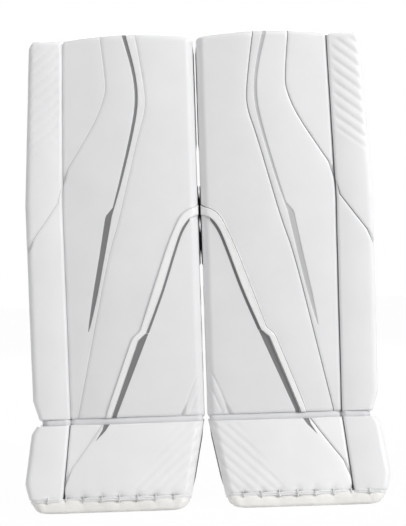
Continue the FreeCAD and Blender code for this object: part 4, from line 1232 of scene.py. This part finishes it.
def build_wing(name, outer_face, sign, ends):
    """A padded wing with bound edges and a sewn panel."""
    bottom, top = ends

    def slant(y):
        return 34.0 * fade(y, WING_REACH - 36, WING_REACH + 3) ** 0.8

    def low_end(x, y):
        return bottom + slant(y)

    def high_end(x, y):
        return top - slant(y)

    skin = Skin(wing_profile(outer_face, sign), True, low_end, high_end, (4.2, 4.2), NO_WARP, 1.5)
    shares = (0.34, 0.66) if top - bottom > 150 else (0.5,)
    lines = [bottom + (top - bottom) * share for share in shares]

    def soft(points, skin):
        p, z = points.T
        low, high = skin.ends(p)
        x, y = skin.base(p)
        tip = np.hypot(x - (outer_face - sign * 55.0), y - (WING_REACH - 4.5))
        rim = np.minimum.reduce([z - low, high - z, np.where(y > 95, tip + 2, 99)])
        out = 0.9 * fade(rim, 9, 26) - 1.3 * bell(rim - 9.5, 1.3) + 0.25 * pits(points, 50.0, 5)
        out += fade(rim, 8, 12) * channels(z, lines, 0.9, 1.3, 8.0, 0.9)
        out = np.where(y > WING_REACH - 12, np.minimum(out, 0.35), out)
        return out * fade(y, WING_PIVOT + 1, WING_PIVOT + 12)

    made = skin_mesh(skin, None, (2.9, 2.6), soft)[:2]
    add_pieces(f"{name}_pad", made, "shin", [BLACK_NYLON], name, [name])


def build_wings():
    for kind, ends, inner_face in (("calf", CALF, -0.5), ("knee", KNEE, 1.8)):
        build_wing(f"inner_{kind}_wing", inner_face, 1, ends)
        build_wing(f"outer_{kind}_wing", ROLL_SIDE + 3.0, -1, ends)


build_calf_channel()
build_knee_block()
build_thigh_liner()
build_boot_liner()
build_wings()


# ------------------------------------------------------------------ straps

STRAP_FACE = -269.4
STRAP_FOOT = 36.8
STRAP_Y = 123.8
STRAP_BEND = 65.0
# Middle height and width of each anchor tab, from the ankle strap up to the thigh strap.
ANCHORS = ((18.0, 25.0), (105.0, 38.0), (196.0, 38.0), (317.5, 50.0), (403.0, 20.0))
ANKLE = 18.0
ANKLE_WIDTH = 25.0
HEEL_BAR = (-58.0, 93.1)


def strap_path(reach, end, bend):
    """Middle line of a strap from its anchor, round the bend and across the leg."""
    x = STRAP_FACE + 1.5
    path = [(x, STRAP_FOOT), (x, reach - bend + 1.5)]
    path += arc(STRAP_FACE + bend, reach + 1.5 - bend, bend - 1.5, 180, 90, 16)
    return path + [(end, reach)]


def even(path, step):
    """Points at even steps along a plan path, its arc lengths and its normals."""
    path = np.array(path, float)
    length = lengths(path)
    s = np.linspace(0, length[-1], max(int(length[-1] / step), 4) + 1)
    points = along(s, length, path)
    tangent = unit(np.gradient(points, axis=0))
    return points, s, np.column_stack([-tangent[:, 1], tangent[:, 0]])


def round_off(share, least):
    """How thick a rounded edge is, some share of its radius away from its rim."""
    return math.sqrt(max(1 - (1 - min(share, 1.0)) ** 2, least))


def ribbon(path, low, high, thick, inset=None, relief=None, step=2.4):
    """A band on edge with rounded edges: inset(s, length) narrows it, relief(s, w, face) shapes it."""
    points, s, normal = even(path, step)
    half = thick / 2
    across = np.linspace(0.0, 1.0, max(int((high - low) / step), 4) + 1)
    ring = [(w, 1) for w in across] + [(w, -1) for w in across[::-1]]
    rings = []
    for at, p, n in zip(s, points, normal):
        edge = inset(at, s[-1]) if inset else 0.0
        bottom, top = low + edge, high - edge
        end, made = round_off(min(at, s[-1] - at) / half, 0.08), []
        for w, face in ring:
            z = bottom + (top - bottom) * w
            rim = min(z - bottom, top - z)
            out = half * min(end, round_off(rim / half, 0.1))
            if relief and rim > half:
                out += relief(at, z - low, face)
            made.append((*(p + n * face * out), z))
        rings.append(made)
    return loft(rings, flip=True)


def thread(path, low, thick, rows, pitch=4.0, face=1):
    """Sewn stitches on a band: rows of ((s0, w0), (s1, w1)) measured along and across it."""
    points, s, normal = even(path, 1.0)
    parts = []
    for (s0, w0), (s1, w1) in rows:
        s0, s1 = (v + s[-1] if v < 0 else v for v in (s0, s1))
        count = max(int(math.hypot(s1 - s0, w1 - w0) / pitch), 1)
        for k in range(count):
            t = np.array([k + 0.16, k + 0.5, k + 0.84]) / count
            at, z = s0 + (s1 - s0) * t, low + w0 + (w1 - w0) * t
            out = face * (thick / 2 + np.array([-0.25, 0.2, -0.25]))
            place = [np.interp(at, s, points[:, i]) + np.interp(at, s, normal[:, i]) * out for i in (0, 1)]
            parts.append(tube(np.column_stack([*place, z]), 0.42, 5, 1.0, (0.3, 0.2, 0.9)))
    return parts


def rounded(radius, start=0.0):
    """Inset of a band with round corners at its far end, and at its start where asked."""

    def inset(s, length):
        near = min(s / start, 1.0) if start else 1.0
        far = min((length - s) / radius, 1.0)
        return start * (1 - math.sqrt(1 - (1 - near) ** 2)) + radius * (1 - math.sqrt(1 - (1 - far) ** 2))

    return inset


def edge_rows(s0, s1, width, margin=3.0):
    """Rows along both edges of a band."""
    return [((s0, w), (s1, w)) for w in (margin, width - margin)]


def box_stitch(s0, s1, width):
    """Rows of a box with a cross in it."""
    a, b = 3.0, width - 3.0
    box = edge_rows(s0, s1, width) + [((s, a), (s, b)) for s in (s0, s1)]
    return box + [((s0, a), (s1, b)), ((s0, b), (s1, a))]


def webbing_relief(width, seed):
    """Slight slack of a strap and the ridge of the webbing sewn on its far half."""

    def relief(s, w, face):
        slack = 0.25 * math.sin(s / 23.0 + seed) + 0.15 * math.sin(s / 9.0 + 2.1 * seed + w / 17.0)
        ridge = 0.35 if 4.5 < w < width - 4.5 else 0.0
        return (slack + ridge) * (face > 0) * float(fade(s, 25.0, 60.0))

    return relief


def strap_pieces(name, made, stitches, body, material, node):
    """A strap and its stitching on both pads."""
    add_pieces(f"{name}_band", made, "shin", [material], body, [node])
    add_pieces(f"{name}_stitches", gather(stitches), "shin", [THREAD], body)


def build_straps():
    path = strap_path(STRAP_Y, -35.5, STRAP_BEND)
    tab_path = [(-52, STRAP_Y + 1.9), (-31, STRAP_Y + 1.9)]
    for part, (middle, width) in zip(("lower_calf", "upper_calf", "knee"), ANCHORS[1:4]):
        name, low, high = f"{part}_strap", middle - width / 2, middle + width / 2
        band = ribbon(path, low, high, 2.6, rounded(9.0), webbing_relief(width, middle))
        rows = box_stitch(9, 34, width) + box_stitch(-66, -26, width) + edge_rows(34, -66, width)
        stitches = thread(path, low, 3.2, [*rows, ((-14, 8.0), (-14, width - 8.0))])
        strap_pieces(name, band, stitches, name, BLACK_WEBBING, name)
        pull = ribbon(tab_path, low + 6, high - 6, 1.6, rounded(7.0, 3.0))
        add_pieces(f"{name}_pull_tab", pull, "shin", [BLACK_LEATHER], name)
    x, turn = -2.0, 46.5
    low, high = 393.0, 413.0
    path = strap_path(STRAP_Y, x - turn, STRAP_BEND) + arc(x - turn, STRAP_Y - turn, turn, 90, 0, 12)
    path.append((x, 24.5))
    band = ribbon(path, low, high, 2.6, None, webbing_relief(20.0, 1.3))
    rows = box_stitch(9, 24, 20) + edge_rows(24, -20, 20) + box_stitch(-20, -5, 20)
    stitches = thread(path, low, 3.0, rows)
    strap_pieces("thigh_strap", band, stitches, "thigh_strap", BLACK_WEBBING, "thigh_strap")


def build_anchor_tabs():
    """Leather tabs with turned edges under the rivets."""
    tabs, rows = [], []
    path = [(-265.8, 36.8), (-236.2, 36.8)]
    for middle, width in ANCHORS:
        low, high = middle - width / 2, middle + width / 2
        tabs.append(ribbon(path, low, high, 2.9, rounded(5.0, 2.0), lambda s, w, face: 0.0, 1.5))
        outline = [*edge_rows(3, 25, width, 2.4), ((26.5, 4.5), (26.5, width - 4.5))]
        rows += thread(path, low, 2.9, outline, 3.0)
    strap_pieces("anchor_tabs", gather(tabs), rows, "shin", BLACK_LEATHER, "strap_anchors")


def punched(made, cutters):
    """A band with round holes and slots cut through it."""
    obj = add_mesh("band_in_making", np.asarray(made[0]) / 1000.0, made[1], [])
    tools = []
    for x0, x1, z, radius in cutters:
        rim = arc(x1 - radius, z, radius, -90, 90, 9) + arc(x0 + radius, z, radius, 90, 270, 9)
        points, faces = loft([[(x, y, z) for x, z in rim] for y in (88.0, 110.0)], flip=True)
        tools.append(add_mesh("cutter_in_making", np.asarray(points) / 1000.0, faces, []))
        add_modifier(obj, "BOOLEAN", object=tools[-1], operation="DIFFERENCE", solver="EXACT")
    add_modifier(obj, "WELD", merge_threshold=2e-5)
    made = evaluated_arrays(obj)
    for done in [obj, *tools]:
        discard(done)
    return made


def build_ankle_strap():
    """Leather strap with a pointed end, a burnished edge, holes and the prong's slot."""
    low, high = ANKLE - ANKLE_WIDTH / 2, ANKLE + ANKLE_WIDTH / 2

    def point(s, length):
        return max(s - (length - 9.0), 0.0) * 0.95

    def crease(s, w, face):
        rim = min(w, ANKLE_WIDTH - w)
        return -0.25 * math.exp(-(((rim - 2.6) / 0.6) ** 2)) * (face > 0)

    path = np.array(strap_path(98.5, -27.0, 56.0))
    path[:, 0] -= 4.0 * fade(path[:, 1], STRAP_FOOT, 46) * fade(-path[:, 1], -80, -60) * (path[:, 0] < -240)
    band = ribbon(path, low, high, 2.7, point, crease, 1.2)
    slot = HEEL_BAR[0] - 28.0 * 0.62
    holes = [slot - distance for distance in (40.0, 60.0, 80.0)]
    band = punched(band, [(slot, HEEL_BAR[0] + 3.4, ANKLE, 2.6), *((x, x, ANKLE, 2.7) for x in holes)])
    rows = [*edge_rows(6, -12, ANKLE_WIDTH, 3.4), ((-12, 3.4), (-4, 11.5)), ((-12, 21.6), (-4, 13.5))]
    stitches = thread(path, low, 2.7, rows, 3.6)
    strap_pieces("ankle_strap", band, stitches, "shin", BLACK_LEATHER, "ankle_strap")
    a = np.linspace(-0.15, 2 * math.pi + 0.15, 27)
    rings = []
    for x in holes:
        for y in (97.25, 99.85):
            ring = np.column_stack([x + 3.3 * np.cos(a), y + 0 * a, ANKLE + 3.3 * np.sin(a)])
            rings.append(tube(ring, 0.62, 8, 0.7))
    add_pieces("strap_eyelets", gather(rings), "shin", [STEEL], "shin")


def build_buckle_strap():
    """Short leather strap, folded round the heel bar and stitched, split for the prong."""
    x, y = HEEL_BAR
    low, high = ANKLE - ANKLE_WIDTH / 2, ANKLE + ANKLE_WIDTH / 2
    path = [(-5.0, 28.4), (-5.0, y - 28.5), *arc(-33.5, y - 28.5, 28.5, 0, 90, 12), (x + 7.5, y)]
    parts = [ribbon(path, low, high, 2.8, None, None, 1.6)]
    loop = [(x + 12, y + 0.8), (x + 6, y + 1.2), *arc(x, y, 2.85, 75, 285, 14)]
    loop += [(x + 6, y - 1.2), (x + 12, y - 0.8)]
    for bottom, top in ((low, ANKLE - 2.3), (ANKLE + 2.3, high)):
        parts.append(ribbon(loop, bottom, top, 1.35, None, None, 1.0))
    rows = [*edge_rows(8, -10, ANKLE_WIDTH), ((-8, 3.0), (-8, 22.0)), ((-13, 3.0), (-13, 22.0))]
    stitches, band = thread(path, low, 2.8, rows, 3.6, -1), gather(parts)
    strap_pieces("buckle_strap", band, stitches, "shin", BLACK_LEATHER, "buckle_strap")


def build_top_binding():
    """Bound hem behind the top edge, with one row of stitches."""
    low = SHIN_TOP - 20.1
    path = [(-203.4, 26.6), (-5.0, 26.6)]

    def ripple(s, w, face):
        return 0.3 * math.sin(s / 3.1) * (face > 0)

    band = ribbon(path, low, low + 10.0, 6.2, None, ripple, 1.6)
    stitches = thread(path, low, 6.6, [((3, 2.4), (-3, 2.4))], 3.4)
    strap_pieces("top_hem", band, stitches, "shin", BLACK_WEBBING, "top_binding")


build_straps()
build_anchor_tabs()
build_ankle_strap()
build_buckle_strap()
build_top_binding()


# ------------------------------------------------------------------ CAD nodes that stay

SHOWN_NODES = {
    "back_panel": BLACK_NYLON,
    "toe_bridge": BLACK_PLASTIC,
    "strap_rivets": STEEL,
    "buckle_frame": STEEL,
    "buckle_roller": STEEL,
    "buckle_prong": STEEL,
}
for name, node in frame["nodes"].items():
    node.data.materials.clear()
    node.data.materials.append(SHOWN_NODES.get(name.split("_", 1)[1], WHITE_FACE))


# ------------------------------------------------------------------ stage, camera and light


def seen_directly(tree, low, high):
    """A value: high for camera, glossy and transmission rays, low for the rest."""
    path = add_node(tree, "LightPath", {}).outputs
    total = path["Is Camera Ray"]
    for other in ("Is Glossy Ray", "Is Transmission Ray"):
        total = add_node(tree, "Math", {0: total, 1: path[other]}, operation="MAXIMUM").outputs[0]
    return add_range(tree, total, low, high)


def make_stage():
    """A wide pale floor, whiter where the camera or metal sees it, and a white world."""
    backdrop = bpy.data.materials.new("backdrop")
    tree = new_tree(backdrop)
    plain = add_node(tree, "BsdfDiffuse", {"Color": (0.9, 0.9, 0.9, 1.0)})
    white = add_node(tree, "Emission", {})
    mix = {"Fac": seen_directly(tree, 0.0, 0.975), 1: plain.outputs[0], 2: white.outputs[0]}
    add_node(tree, "OutputMaterial", {"Surface": add_node(tree, "MixShader", mix).outputs[0]})
    corners = [(-FLOOR, -FLOOR, 0), (FLOOR, -FLOOR, 0), (FLOOR, FLOOR, 0), (-FLOOR, FLOOR, 0)]
    add_mesh("floor", corners, [(0, 1, 2, 3)], [backdrop])
    world = bpy.data.worlds.new("studio")
    bpy.context.scene.world = world
    tree = new_tree(world)
    light = {"Color": (1, 1, 1, 1), "Strength": seen_directly(tree, 0.3, 1.0)}
    add_node(tree, "OutputWorld", {"Surface": add_node(tree, "Background", light).outputs[0]})


def add_object(name, data):
    """A lamp or camera in the scene."""
    obj = bpy.data.objects.new(name, data)
    bpy.context.collection.objects.link(obj)
    return obj


def add_lamp(name, place, size, power):
    """A soft square lamp aimed at the middle of the pads."""
    data = bpy.data.lights.new(name, "AREA")
    data.shape = "RECTANGLE"
    data.size = data.size_y = size
    data.energy = power
    lamp = add_object(name, data)
    lamp.location = place
    lamp.rotation_euler = (Vector(PADS_MIDDLE) - Vector(place)).to_track_quat("-Z", "Y").to_euler()


def make_camera():
    """The photograph's view: almost level, from the front, slightly rolled."""
    data = bpy.data.cameras.new("camera")
    cam = add_object("camera", data)
    bpy.context.scene.camera = cam
    data.sensor_width = SENSOR
    data.lens = SENSOR * CAMERA_DISTANCE / CAMERA_SPAN
    data.clip_end = 50.0
    elevation, roll = (math.radians(a) for a in CAMERA_TURN)
    back = Vector((0, -math.cos(elevation), math.sin(elevation)))
    cam.location = Vector(CAMERA_TARGET) + back * CAMERA_DISTANCE
    turn = (-back).to_track_quat("-Z", "Y").to_matrix()
    cam.rotation_euler = (turn @ Matrix.Rotation(roll, 3, "Z")).to_euler()


FLOOR = 6.0  # metres from the middle to each side
PADS_MIDDLE = (0.0, 0.0, 0.4)
SENSOR = 36.0  # millimetres
CAMERA_DISTANCE = 3.2
CAMERA_SPAN = 0.861  # height of the view at the target, in metres
CAMERA_TARGET = (0.0029, -0.03, 0.396)
CAMERA_TURN = (2.0, -1.85)  # elevation and roll, in degrees

make_stage()
make_camera()
bpy.context.scene.view_settings.view_transform = "Standard"
add_lamp("key", (2.9, -2.2, 1.9), 1.2, 80.0)
add_lamp("fill", (-1.8, -3.0, 1.4), 1.8, 11.0)
add_lamp("top", (0.4, -0.8, 2.9), 1.8, 17.0)
add_lamp("rear", (0.0, 2.8, 1.6), 2.0, 48.0)
